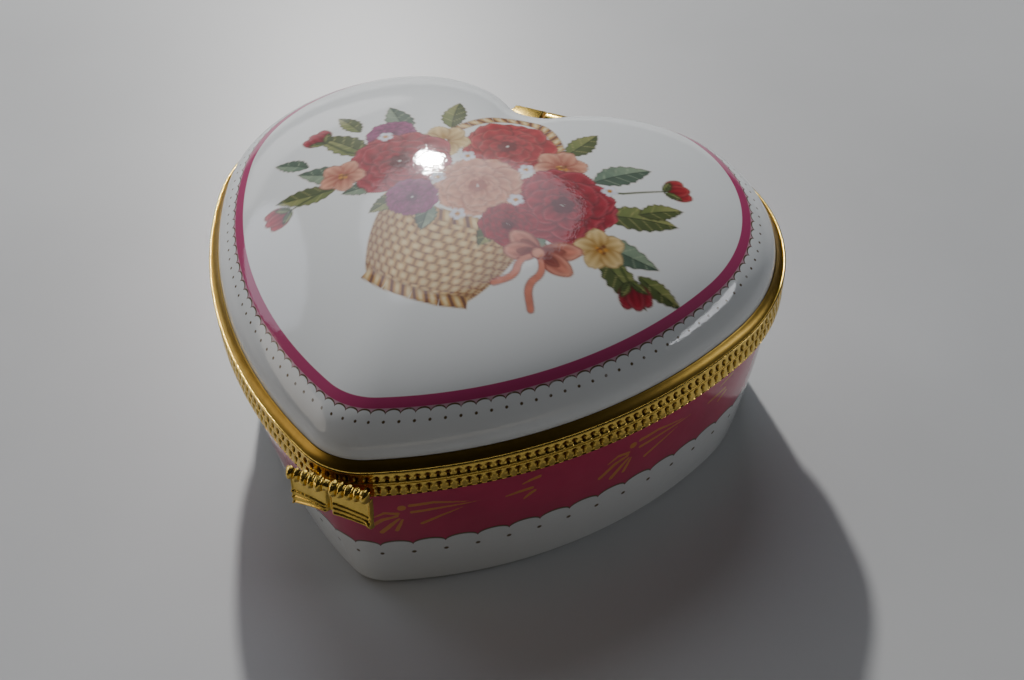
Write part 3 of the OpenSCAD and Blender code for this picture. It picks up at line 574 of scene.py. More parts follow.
class Canvas:
    """Paint on a cloud of points (x, y) in millimetres. Each touch covers what lies under it."""

    def __init__(self, x, y, seed=7):
        self.x, self.y = x, y
        self.paint = np.ones((len(x), 3)) * rgb("#e6dccb")
        self.cover = np.zeros(len(x))
        self.rng = np.random.default_rng(seed)
        grid = self.rng.random((64, 64))
        fx, fy = (x * 1.7) % 64, (y * 1.7) % 64
        ix, iy = fx.astype(int), fy.astype(int)
        tx, ty = fx - ix, fy - iy
        tx, ty = tx * tx * (3 - 2 * tx), ty * ty * (3 - 2 * ty)
        jx, jy = (ix + 1) % 64, (iy + 1) % 64
        low = grid[ix, iy] * (1 - tx) + grid[jx, iy] * tx
        high = grid[ix, jy] * (1 - tx) + grid[jx, jy] * tx
        self.mottle = low * (1 - ty) + high * ty

    def near(self, cx, cy, reach):
        return np.flatnonzero((np.abs(self.x - cx) < reach) & (np.abs(self.y - cy) < reach))

    def local(self, at, cx, cy, turn):
        """Coordinates along and across an axis that leaves (cx, cy) at an angle."""
        dx, dy = self.x[at] - cx, self.y[at] - cy
        c, s = math.cos(turn), math.sin(turn)
        return dx * c + dy * s, dy * c - dx * s

    def lay(self, at, mask, colour):
        colour = unit(colour * (0.9 + 0.2 * self.mottle[at])[:, None])
        self.paint[at] += (colour - self.paint[at]) * mask[:, None]
        self.cover[at] = np.maximum(self.cover[at], mask)

    def stroke(self, points, w0, w1, colour, belly=0.0):
        """Tapered line through points, w0 wide at its start, w1 at its end, and wider by belly in its middle."""
        points = np.array(points, float)
        for t0, (p, q) in enumerate(zip(points[:-1], points[1:])):
            d = q - p
            size = np.linalg.norm(d)
            at = self.near(*(p + q) / 2, size / 2 + max(w0, w1) + belly + 0.6)
            if not len(at):
                continue
            a, b = self.local(at, *p, math.atan2(d[1], d[0]))
            t = unit(a / size)
            whole = (t0 + t) / (len(points) - 1)
            half = (w0 + (w1 - w0) * whole + belly * np.sin(np.pi * whole)) / 2
            gap = np.hypot(a - t * size, b) - half
            self.lay(at, soft(gap, 0.3), flat(colour, at))

    def petal(self, cx, cy, turn, size, half, dark, mid, light, ripple=0.0):
        """Cupped petal: dark at its root, light along its lip, with veins and a shaded edge."""
        at = self.near(cx, cy, size * 1.25 + half)
        a, b = self.local(at, cx, cy, turn)
        a = a / size
        round_ = unit(np.sin(np.pi * unit(a * 0.93 + 0.05))) ** 0.62
        wave = 1 + ripple * np.sin(b * 5.1 / half + cx * 3.7 + turn * 5)
        edge = np.maximum(np.abs(b) - half * round_, (a - 1.0 * wave) * size)
        edge = np.maximum(edge, -a * size)
        mask = soft(edge, 0.32)
        lip = unit(1 + edge / (0.28 * size))
        tone = unit(a * 1.15 - 0.05 + 0.16 * np.sin(b * 9 / half + a * 2))
        colour = mix(flat(dark, at), rgb(mid), tone)
        colour = mix(colour, rgb(light), unit(lip - 0.35) * unit(a * 1.6 - 0.3) * 0.85)
        colour = mix(colour, rgb(dark), unit((edge + 0.42) / 0.32) * 0.75)
        self.lay(at, mask, colour)

    def peony(self, cx, cy, r, inks, turn=0.0, open_=1.0):
        """Full flower of four rings of petals that close over each other, with a tight heart."""
        dark, mid, light = inks
        # each ring's petals, how far they reach, their half width and where they start, as shares of r
        rings = ((9, 1.0, 0.42, 0.36), (8, 0.8, 0.36, 0.24), (6, 0.58, 0.3, 0.12), (5, 0.38, 0.22, 0.02))
        for ring, (count, reach, span, start) in enumerate(rings):
            for i in self.rng.permutation(count):
                a = turn + 2 * math.pi * (i + 0.5 * (ring % 2)) / count + self.rng.uniform(-0.12, 0.12)
                grow = self.rng.uniform(0.92, 1.08)
                squash = 1 - 0.12 * ring * open_ * math.sin(a)
                size = r * (reach - start) * grow * squash
                self.petal(*polar(cx, cy, r * start, a, 0.9), a, size, r * span * grow, dark, mid, light, 0.07)
        for i in range(5):
            a = turn + i * 1.3
            self.petal(*polar(cx, cy, r * 0.07, a), a + 1.1, r * 0.17, r * 0.1, dark, dark, mid)

    def blossom(self, cx, cy, r, inks, count=5, turn=0.0):
        """Open flower with a stamened eye."""
        dark, mid, light = inks
        for i in range(count):
            a = turn + 2 * math.pi * i / count
            self.petal(*polar(cx, cy, r * 0.12, a), a, r * 0.92, r * 0.46, dark, mid, light, 0.05)
        for i in range(9):
            a = turn + i * 2.4
            x, y = (r * 0.2 * way(a) * (i % 3) / 2 for way in (math.cos, math.sin))
            self.disc(cx + x, cy + y, 0.26, STAMEN if i % 2 else "#7d4a20")

    def disc(self, cx, cy, r, colour):
        at = self.near(cx, cy, r + 0.5)
        self.lay(at, soft(np.hypot(self.x[at] - cx, self.y[at] - cy) - r, 0.25), flat(colour, at))

    def leaf(self, cx, cy, turn, size, half, inks, bend=0.0):
        """Pointed leaf with a light half, a dark half, a midrib and side veins."""
        dark, mid, light = inks
        at = self.near(cx, cy, size + half + 0.6)
        a, b = self.local(at, cx, cy, turn)
        a = a / size
        b = b - bend * size * a * a
        width = half * unit(np.sin(np.pi * unit(a) ** 0.85)) ** 0.9
        teeth = 1 + 0.07 * np.sin(a * 44)
        edge = np.maximum(np.abs(b) - width * teeth, np.maximum(-a, a - 1) * size)
        mask = soft(edge, 0.28)
        colour = np.where((b > 0)[:, None], rgb(mid), rgb(dark) * 0.55 + rgb(mid) * 0.45)
        colour = mix(colour, rgb(light), unit(1.4 * a - 0.4) * (b > 0) * 0.6)
        veins = np.abs(np.sin((a * size * 1.9 - np.abs(b) * 1.5)))
        colour = mix(colour, rgb(light), unit(1 - veins * 3.2) * 0.5)
        colour = mix(colour, rgb(dark), unit(1 - np.abs(b) / 0.16) * 0.8)
        colour = mix(colour, rgb(dark) * 0.6, unit((edge + 0.3) / 0.25) * 0.8)
        self.lay(at, mask, colour)

    def plait(self, points, width, pitch, inks):
        """Twisted cane along a line: slanting strands, light on their crowns."""
        dark, mid, light = inks
        points = np.array(points, float)
        done = 0.0
        for p, q in zip(points[:-1], points[1:]):
            d = q - p
            size = np.linalg.norm(d)
            at = self.near(*(p + q) / 2, size / 2 + width)
            a, b = self.local(at, *p, math.atan2(d[1], d[0]))
            edge = np.maximum(np.abs(b) - width / 2, np.abs(a - size / 2) - size / 2 - 0.05)
            twist = np.sin(2 * np.pi * ((a + done) / pitch + b / width * 0.55))
            crown = np.sqrt(unit(1 - (2 * b / width) ** 2))
            colour = mix(flat(mid, at), rgb(light), unit(twist) * crown)
            colour = mix(colour, rgb(dark), unit(-twist * 1.6 - 0.5) * 0.9)
            colour = mix(colour, rgb(dark), (1 - crown) * 0.7)
            self.lay(at, soft(edge, 0.25), colour)
            done += size

    def basket(self, cx, top, foot, w_top, w_foot, inks):
        """Woven body between its rim and foot, each strand passing over and under the stakes."""
        dark, mid, light = inks
        tall = top - foot
        at = self.near(cx, (top + foot) / 2, max(w_top, tall) + 1)
        h = (self.y[at] - foot) / tall
        half = w_foot + (w_top - w_foot) * unit(h) ** 0.75 + 0.5 * np.sin(np.pi * unit(h))
        x = (self.x[at] - cx) / half
        sag = 1.2 * (1 - x * x)
        y = self.y[at] + sag
        edge = np.maximum((np.abs(x) - 1) * half, np.maximum(foot - y, y - top - 0.9))
        turn = np.arcsin(np.clip(x, -1, 1)) * w_top
        row = np.floor((y - foot) / 1.15)
        across = (y - foot) / 1.15 - row
        along = turn / 1.9 + 0.5 * (row % 2)
        swell = np.cos(2 * np.pi * along)
        crown = np.sin(np.pi * across)
        colour = mix(flat(mid, at), rgb(light), unit(crown * (0.5 + 0.5 * swell)))
        colour = mix(colour, rgb(dark), unit(1 - crown * 2.6) * 0.75)
        colour = mix(colour, rgb(dark), unit(-swell - 0.55) * 1.3 * 0.9)
        colour = mix(colour, rgb("#7a4a44"), unit(np.abs(x) * 1.5 - 0.75) * 0.65)
        self.lay(at, soft(edge, 0.3), colour)


STAMEN = "#c98a2f"
# inks: dark, middle and light
ORCHID = ("#5e2148", "#a0487c", "#cf8fb4")
CRIMSON = ("#5e1420", "#a8283a", "#d8707a")
SCARLET = ("#6e1a20", "#b8343c", "#e0857c")
PEACH = ("#a85a48", "#e0a184", "#f3d6bd")
CREAM = ("#a8803c", "#e3c88e", "#f6ebc9")
OLIVE = ("#2f3a26", "#6f7c45", "#b6b272")
SAGE = ("#33443a", "#6d8470", "#a9b89a")
CANE = ("#6b4038", "#c99a5c", "#ecd7a2")
RIBBON = ("#8e4038", "#d98872", "#f0bea6")


def arc_points(cx, cy, rx, ry, a0, a1, n):
    return [(cx + rx * math.cos(a), cy + ry * math.sin(a)) for a in np.linspace(a0, a1, n)]


def curved(points, rounds=3):
    """The points of a smooth line inside a bent one, by cutting its corners."""
    points = [np.array(p, float) for p in points]
    for _ in range(rounds):
        inner = [p for a, b in zip(points[:-1], points[1:]) for p in (0.75 * a + 0.25 * b, 0.25 * a + 0.75 * b)]
        points = [points[0], *inner, points[-1]]
    return points


def paint_posy(x, y):
    """A handled basket of peonies, tied with a ribbon, on the lid's crown: colour and cover of each point."""
    c = Canvas((x - 26) / 1.12 + 26, (y + 22) / 1.12 - 22)
    mid = 4.0
    # handle, behind the flowers
    c.plait(arc_points(mid, -12.5, 10.2, 18.6, 0.12, math.pi - 0.12, 34), 1.5, 1.7, CANE)
    # outer leaves and stems
    for px, py, turn, size, half, inks, bend in (
        (-12, -8, 2.75, 9.5, 2.0, OLIVE, 0.1), (-11, -12, 3.35, 9.0, 1.9, SAGE, -0.1),
        (-9, -3, 2.2, 8.5, 1.9, SAGE, 0.1), (-4, 0.5, 1.95, 7.0, 1.7, OLIVE, -0.1),
        (20, -8, 0.45, 9.5, 2.0, OLIVE, -0.1), (19, -12, -0.15, 10.0, 2.0, SAGE, 0.12),
        (17, -3, 0.95, 8.5, 1.9, SAGE, -0.1), (12, 0.5, 1.2, 7.0, 1.7, OLIVE, 0.1),
        (22, -14, -0.6, 8.5, 1.8, OLIVE, 0.1), (-13, -15, 3.7, 8.0, 1.7, OLIVE, -0.12),
        (27, -14.5, -0.25, 6.0, 1.3, OLIVE, 0.1), (-19, -11.5, 3.0, 5.5, 1.2, SAGE, 0.1),
        (24, -5.5, 0.8, 6.0, 1.4, OLIVE, -0.1), (-15.5, -3.5, 2.5, 6.0, 1.3, OLIVE, 0.1)):
        c.leaf(px, py, turn, size, half, inks, bend)
    for line in (((14, -8), (21, -11), (27.2, -16.6)), ((14, -6), (21, -3), (26, 1)),
                 ((-8, -8), (-15, -8), (-20, -6)), ((-7, -11), (-14, -15), (-18, -20))):
        c.stroke(line, 0.5, 0.3, "#47542f")
    # buds at the ends of the sprays
    for px, py, turn, inks in ((27.3, -16.8, -0.9, CRIMSON), (26.3, 1.2, 0.8, SCARLET),
                               (-20.4, -5.8, 2.7, CRIMSON), (-18.2, -20.2, 4.0, SCARLET)):
        for k in (-0.5, 0.5, 0):
            c.petal(*polar(px, py, -1.0, turn), turn + k, 3.4, 1.25, *inks)
        for k in (-0.75, 0.75):
            c.leaf(*polar(px, py, -1.4, turn), turn + k, 2.6, 0.6, OLIVE)
    # basket
    c.basket(mid, -15.2, -27.0, 9.8, 6.6, CANE)
    for (wide, high), (in_x, in_y), low, width, pitch in (((6.6, -27.2), (3.5, -28.1), -28.4, 1.7, 1.5),
                                                          ((10.3, -14.6), (5.5, -15.7), -16.1, 2.0, 1.8)):
        sag = [(mid - wide, high), (mid - in_x, in_y), (mid, low), (mid + in_x, in_y), (mid + wide, high)]
        c.plait(sag, width, pitch, CANE)
    # leaves that hang over the rim
    for px, py, turn, size, inks in (
        (-4, -13.5, 4.2, 5.5, OLIVE), (0, -14.5, 4.9, 4.8, SAGE), (9, -14.2, 4.6, 5.0, OLIVE),
        (13, -13, 5.2, 6.0, SAGE), (-7.5, -12.5, 3.8, 5.5, SAGE)):
        c.leaf(px, py, turn, size, 1.4, inks)
    # flowers, from the back to the front
    c.peony(4.5, -0.8, 6.2, SCARLET, 0.4)
    c.peony(-11.0, -3.2, 3.6, ORCHID, 0.7)
    c.blossom(-3.8, -2.6, 3.5, CREAM, 6, 0.2)
    c.blossom(12.4, -2.2, 3.5, PEACH, 6, 0.6)
    c.peony(-7.3, -8.2, 6.8, CRIMSON, 1.0)
    c.peony(15.2, -8.6, 7.2, CRIMSON, 0.1)
    c.peony(4.2, -9.6, 5.8, PEACH, 0.8)
    c.blossom(-13.4, -12.6, 3.0, PEACH, 5, 0.3)
    c.blossom(21.8, -13.2, 3.1, CREAM, 5, 0.9)
    c.peony(-2.6, -14.2, 3.6, ORCHID, 0.2)
    c.peony(10.4, -14.6, 3.7, CRIMSON, 1.4)
    for px, py in ((0.6, -4.6), (8.6, -4.4), (-1.2, -9.8), (9.6, -10.2), (-11.6, -3.8), (19.4, -3.4), (4.0, -15.2)):
        for k in range(5):
            c.disc(*polar(px, py, 0.62, k * 1.257), 0.42, "#dfe2ee")
        c.disc(px, py, 0.32, STAMEN)
    # ribbon tied at the foot of the handle
    bx, by = 15.4, -17.2
    for turn, size in ((0.5, 5.4), (-0.25, 5.0), (2.75, 4.6), (3.45, 4.2)):
        c.petal(bx, by, turn, size, 1.55, *RIBBON)
        c.petal(bx, by, turn, size * 0.62, 0.7, "#6e2c28", *RIBBON[:2])
    for bent in (((bx, by), (bx + 1.7, by - 2.4), (bx + 0.5, by - 4.8), (bx + 2.2, by - 7.8)),
                 ((bx, by), (bx - 1.7, by - 1.9), (bx - 1.2, by - 4.2), (bx - 3.1, by - 6.2))):
        line = curved(bent)
        c.stroke(line, 0.5, 0.9, "#8e4038", 0.35)
        c.stroke(line, 0.25, 0.6, "#d98872", 0.3)
    c.disc(bx, by, 0.95, "#8e4038")
    c.disc(bx, by, 0.7, "#e39a80")
    return c.paint, c.cover


SPRAY = [  # strokes of one painted spray: start, bend, end and the two widths, from its bead at (0, 0)
    ((-0.65, -1.3), (-2.4, -0.95), (-4.0, -1.9), 0.55, 0.22),
    ((-0.75, -1.9), (-2.8, -2.55), (-5.1, -4.5), 0.4, 0.68),
    ((-0.55, -2.6), (-1.75, -4.0), (-3.15, -5.7), 0.33, 0.74),
    ((-0.1, -2.85), (-0.55, -4.1), (-1.1, -5.5), 0.28, 0.56),
    ((1.2, 0.4), (4.3, 0.6), (9.0, -0.4), 0.62, 0.16),
    ((1.3, -1.2), (5.0, -0.9), (10.7, -0.7), 0.56, 0.13),
    ((2.5, -4.2), (5.0, -2.9), (8.2, -1.5), 0.56, 0.13),
    ((-0.05, 0.0), (0.0, 0.0), (0.05, 0.0), 0.95, 0.95),
    ((16.6, 0.7), (17.7, 1.15), (19.0, 1.45), 0.22, 0.58),
    ((14.2, -1.2), (15.9, -0.9), (17.9, -0.75), 0.28, 0.56),
    ((16.8, -2.9), (17.5, -2.15), (18.3, -1.6), 0.28, 0.56),
]


NO_SPRAY = 9.0  # a distance in millimetres that no stroke's ink reaches


def spray_distance(along, height, step, first, level):
    """Distance in millimetres to the nearest stroke of the sprays that repeat every step along the band."""
    x = (along - first + step / 3) % step - step / 3
    y = height - level
    best = np.full(x.shape, NO_SPRAY)
    for p, q, r, w0, w1 in SPRAY:
        for a, b, wa, wb in ((p, q, w0, (w0 + w1) * 0.62), (q, r, (w0 + w1) * 0.62, w1)):
            dx, dy = b[0] - a[0], b[1] - a[1]
            t = unit(((x - a[0]) * dx + (y - a[1]) * dy) / (dx * dx + dy * dy + 1e-9))
            best = np.minimum(best, np.hypot(x - a[0] - t * dx, y - a[1] - t * dy) - (wa + (wb - wa) * t) / 2)
    return best


# ---------------------------------------------------------------- operators
STRIPE_SHARE = 0.899  # where the lid's stripe runs, as a share of the way out from the crown


class MUSICBOX_OT_lid(bpy.types.Operator):
    """Make the domed porcelain lid with its posy, stripe, scallops and dots"""

    bl_idname = "musicbox.lid"
    bl_label = "Porcelain Lid"

    def execute(self, context):
        shape, decor = context.scene.music_box_shape, context.scene.music_box_decor
        heart = Heart(shape)
        n = 900
        points, normals = heart.walk(n)
        wall, rise = shape.lid_wall / MM, shape.dome_h / MM
        foot_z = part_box("lid_shell")[0].z / MM
        outward, inward = np.linspace(0, math.pi / 2, 200)[:-1], np.linspace(math.pi / 2, 0, 40)[1:]
        dome, shares = heart.dome(points, normals, LID_IN, COLLAR_Z, rise, outward)
        lining, _ = heart.dome(points, normals, LID_IN + wall, COLLAR_Z, rise - wall, inward)
        skirt = [row_at(points, normals, LID_IN + d, z) for d, z in (
            (wall, foot_z + 1.2), (wall, foot_z + 0.4), (wall - 0.12, foot_z + 0.12), (wall - 0.4, foot_z),
            (0.4, foot_z), (0.12, foot_z + 0.12), (0, foot_z + 0.4), (0, foot_z + 1.3))]
        lead = len(lining) + len(skirt)
        # millimetres of surface out from the stripe's middle, measured along each meridian
        steps = np.linalg.norm(np.diff(np.array(dome), axis=0), axis=2)
        down = np.vstack([np.zeros(n), np.cumsum(steps, axis=0)])
        at = np.interp(-STRIPE_SHARE, -np.array(shares), np.arange(len(shares)))
        row = int(at)
        v = down[row] + (down[row + 1] - down[row]) * (at - row) - down
        v = np.vstack([np.full((lead, n + 1), OFF_LID_PRINT), np.hstack([v, v[:, :1]])])
        u = np.tile(np.arange(n + 1) / n * decor.lid_scallops, (len(v), 1))
        crown, hollow = ((*heart.dome_c, COLLAR_Z + h) for h in (rise, rise - wall))
        lid = loft("lid_porcelain", lining + skirt + dome, u, v, hollow, crown)
        total = len(lid.data.vertices)
        co = np.zeros(total * 3)
        lid.data.vertices.foreach_get("co", co)
        co = co.reshape(-1, 3) / MM
        outside = (np.arange(total) >= lead * n) & (np.arange(total) != total - 2)
        posy = np.zeros((total, 4))
        paint, cover = paint_posy(co[outside, 0] - heart.origin[0], co[outside, 1] - heart.origin[1])
        posy[outside, :3], posy[outside, 3] = paint, cover
        lid.data.color_attributes.new("posy", "FLOAT_COLOR", "POINT").data.foreach_set("color", posy.ravel())
        # the stripe's line is shorter than the heart's
        look = lid_porcelain(decor, heart.around * 0.93 / decor.lid_scallops)
        finish_piece(lid, "lid", look, "porcelain", "lid_shell")
        return {"FINISHED"}


class MUSICBOX_OT_base(bpy.types.Operator):
    """Make the porcelain base with its magenta band, scallops, dots and gold sprays"""

    bl_idname = "musicbox.base"
    bl_label = "Porcelain Base"

    def execute(self, context):
        shape, decor = context.scene.music_box_shape, context.scene.music_box_decor
        heart = Heart(shape)
        n = 1200
        points, normals = heart.walk(n)
        wall, taper = shape.base_wall / MM, shape.base_taper / MM
        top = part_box("base_shell")[1].z / MM
        foot, inner = base_inset(0, taper), BASE_IN + wall
        floor_in = base_inset(FLOOR_Z, taper) + wall
        back = foot + 2.4  # the foot ring's inner edge
        shoulder = top - 6  # from here up the wall stands straight
        profile = [(floor_in + 1.2, FLOOR_Z), (floor_in + 0.35, FLOOR_Z + 0.35), (floor_in - 0.02, FLOOR_Z + 1.2)]
        for z in np.linspace(FLOOR_Z + 2.2, shoulder, 5)[:-1]:
            t = (z - FLOOR_Z) / (shoulder - FLOOR_Z)
            profile.append((floor_in * (1 - t) + inner * t, z))
        profile += [(inner, shoulder), (inner, top - 0.3), (inner - 0.3, top), (BASE_IN + 0.3, top),
                    (BASE_IN, top - 0.3)]
        outer = [top - 0.9] + list(np.linspace(LOWER_Z, 9.6, 62)) + list(np.linspace(9, 0.9, 14)) + [0.6]
        lead = len(profile)
        profile += [(base_inset(z, taper), z) for z in outer]
        profile += [(foot + 0.06, 0.33), (foot + 0.2, 0.14), (foot + 0.42, 0.03), (foot + 0.66, 0), (back - 0.1, 0),
                    (back + 0.3, 0.18), (back + 0.5, 0.6), (back + 0.5, RECESS_Z - 0.8),
                    (back + 0.75, RECESS_Z - 0.2), (back + 1.4, RECESS_Z)]
        rows = [row_at(points, normals, d, z) for d, z in profile]
        heights = np.array([z for _, z in profile])
        shown = np.zeros(len(profile), bool)
        shown[lead : lead + len(outer)] = True
        v = np.tile(np.where(shown, heights, OFF_BASE_PRINT)[:, None], (1, n + 1))
        u = np.tile(np.arange(n + 1) / n * decor.base_scallops, (len(rows), 1))
        base = loft("base_porcelain", rows, u, v)
        spray = np.full((len(rows), n), NO_SPRAY)
        along = np.arange(n) / n * heart.around
        step = heart.around / decor.sprays
        for j in np.flatnonzero(shown & (heights > 12)):
            spray[j] = spray_distance(heart.half - along, np.full(n, heights[j]), step, first=8.4, level=20.7)
        layer = base.data.attributes.new("spray", "FLOAT", "POINT")
        layer.data.foreach_set("value", spray.ravel().astype(np.float32))
        # floor and recess, with holes for the arbor and the movement's screws
        bm = bmesh.new()
        bm.from_mesh(base.data)
        bm.verts.ensure_lookup_table()
        low, high = (np.array(c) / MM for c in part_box("winding_arbor"))
        holes = [((low + high) / 2, 3.2)] + [(spot, 1.65) for spot in self.islands("screw_washers")]
        facets = 40
        ends = [([bm.verts[row * n + i] for i in range(n)], z) for row, z in ((0, FLOOR_Z), (len(rows) - 1, RECESS_Z))]
        rims = []
        for loop, z in ends:
            edges = [bm.edges.get((loop[i], loop[(i + 1) % n])) for i in range(n)]
            circles = []
            for centre, r in holes:
                circle = [bm.verts.new(((centre[0] + r * math.cos(a)) * MM, (centre[1] + r * math.sin(a)) * MM, z * MM))
                          for a in np.linspace(0, 2 * math.pi, facets + 1)[:-1]]
                edges += [bm.edges.new((circle[i], circle[(i + 1) % facets])) for i in range(facets)]
                circles.append(circle)
            bmesh.ops.triangle_fill(bm, edges=edges, use_beauty=True, use_dissolve=False)
            rims.append(circles)
        for one, two in zip(*rims):
            for i in range(facets):
                k = (i + 1) % facets
                bm.faces.new((one[i], one[k], two[k], two[i]))
        bm.to_mesh(base.data)
        bm.free()
        fresh = np.zeros(len(base.data.vertices), np.float32)
        base.data.attributes["spray"].data.foreach_get("value", fresh)
        fresh[len(rows) * n :] = NO_SPRAY
        base.data.attributes["spray"].data.foreach_set("value", fresh)
        # the tapering base is shorter round at the scallops than at the heart's line
        look = base_porcelain(decor, heart.around * 0.97 / decor.base_scallops)
        finish_piece(base, "base", look, "porcelain", "base_shell")
        return {"FINISHED"}

    @staticmethod
    def islands(name):
        """Centres, in millimetres, of the separate solids of a node."""
        bm = bmesh.new()
        bm.from_mesh(frame["nodes"][name].data)
        bmesh.ops.remove_doubles(bm, verts=bm.verts, dist=1e-6)
        left, centres = set(bm.verts), []
        while left:
            heap, seen = [left.pop()], []
            while heap:
                vert = heap.pop()
                seen.append(vert.co.copy())
                for edge in vert.link_edges:
                    other = edge.other_vert(vert)
                    if other in left:
                        left.discard(other)
                        heap.append(other)
            co = np.array(seen) / MM
            centres.append((co.min(0) + co.max(0)) / 2)
        bm.free()
        return centres


# the bands' milled faces, in millimetres: each cell's ball, stem, soft edge and depth, and heights on the face
BALL_R, STEM_HALF, CELL_EDGE, CELL_DEPTH = 0.28, 0.4, 0.16, 0.3
RIM_GROOVE_H, BEAD_RIM_H, TOOTH_H = 1.93, 2.0, 0.32
COVE_LACQUER_AND_SHADE = 0.55  # how much the cove is darkened: old lacquer that stays in it, and painted shade at the foot of the lid


class MUSICBOX_OT_bands(bpy.types.Operator):
    """Make the two gilt bands with their milled cells, and the cove that holds the lid"""

    bl_idname = "musicbox.bands"
    bl_label = "Gilt Bands"

    def execute(self, context):
        shape, decor = context.scene.music_box_shape, context.scene.music_box_decor
        heart = Heart(shape)
        gilt = gilt_brass("brass gilt, stamped band", decor.gilt, patina_and_shade=True, roughness=0.2, hammered=1.0)
        each = 10
        n = decor.cells * each
        points, normals = heart.walk(n)
        x = ((np.arange(n) % each) / each - 0.5) * heart.around / decor.cells
        for name, low, hole_z, body, solid in (("upper_band", UPPER_Z, 1.08, "lid", "upper_bezel"),
                                               ("lower_band", LOWER_Z, 1.3, "base", "lower_bezel")):
            upper = body == "lid"
            if upper:
                cove = [(0.42 + 1.16 * t, RIM_Z + t - 0.12 * math.sin(math.pi * t)) for t in np.linspace(1, 0, 9)]
                inside = [(4.4, low), (4.4, low + 0.9), (LID_IN - 0.05, low + 0.9), (LID_IN - 0.05, COLLAR_Z)]
                beads = [(0.36, RIM_Z + 0.06), (0.27, RIM_Z + 0.09), (0.17, RIM_Z + 0.07), (0.08, RIM_Z)]
                start = inside + cove + beads
            else:
                tongue = BAND_HIGH[2]
                start = [(1.1, low), (1.1, SEAM_Z - 0.9), (5.4, SEAM_Z - 0.9), (5.4, tongue - 0.1), (5.3, tongue),
                         (4.9, tongue), (4.8, tongue - 0.1), (4.8, SEAM_Z), (0.12, SEAM_Z), (0.04, SEAM_Z - 0.04)]
            rows = [row_at(points, normals, d, z) for d, z in start]
            # the cove's rows are darkened by old lacquer and by painted shade at the foot of the lid
            pits = [np.full(n, COVE_LACQUER_AND_SHADE if upper and 0.4 < d < 1.6 else 0.0) for d, _ in start]
            for h in np.linspace(0.12, BAND_H - 0.1, 22)[::-1]:
                # each cell is a keyhole: a ball, and a stem that hangs from it
                y = h - hole_z
                ball = np.hypot(x, y * 0.85) - BALL_R
                stem = np.maximum(np.abs(x) - (0.17 if upper else 0.11), np.abs(y + 0.35) - STEM_HALF)
                pit = unit(0.5 - np.minimum(ball, stem) / CELL_EDGE)
                pit = pit * pit * (3 - 2 * pit)
                # a fine groove, above the upper band's seam and below the lower band's
                line = 0.44 if upper else BAND_H - 0.14
                groove = ridge(h - line, 0.07)
                depth = CELL_DEPTH * pit + 0.12 * groove
                # the face leans back, more towards its top
                d = 0.05 + depth + (0.36 if upper else 0.3) * (h / BAND_H) ** 2
                if upper:
                    # the beaded rim above a fine groove
                    d = d + 0.14 * ridge(h - RIM_GROOVE_H, 0.07) - (0.3 if h > BEAD_RIM_H else 0.0)
                    groove = np.maximum(groove, ridge(h - RIM_GROOVE_H, 0.06))
                elif h < TOOTH_H:
                    # bead like teeth along the lower edge
                    tooth = np.cos(2 * np.pi * x / (heart.around / decor.cells)) * -0.5 + 0.5
                    d = d + 0.22 * (1 - tooth) * (1 - h / TOOTH_H)
                rows.append(row_at(points, normals, np.maximum(d, 0.0), low + h))
                pits.append(np.maximum(pit, 0.85 * groove))
            for d, z in ((0.04, low + 0.04), (0.12, low)):
                rows.append(row_at(points, normals, d, z))
                pits.append(np.zeros(n))
            band = loft(name, rows, closed=True)
            layer = band.data.attributes.new("pit", "FLOAT", "POINT")
            layer.data.foreach_set("value", np.array(pits).ravel().astype(np.float32))
            finish_piece(band, body, gilt, "gilt_brass", solid, sharp=50)
        return {"FINISHED"}


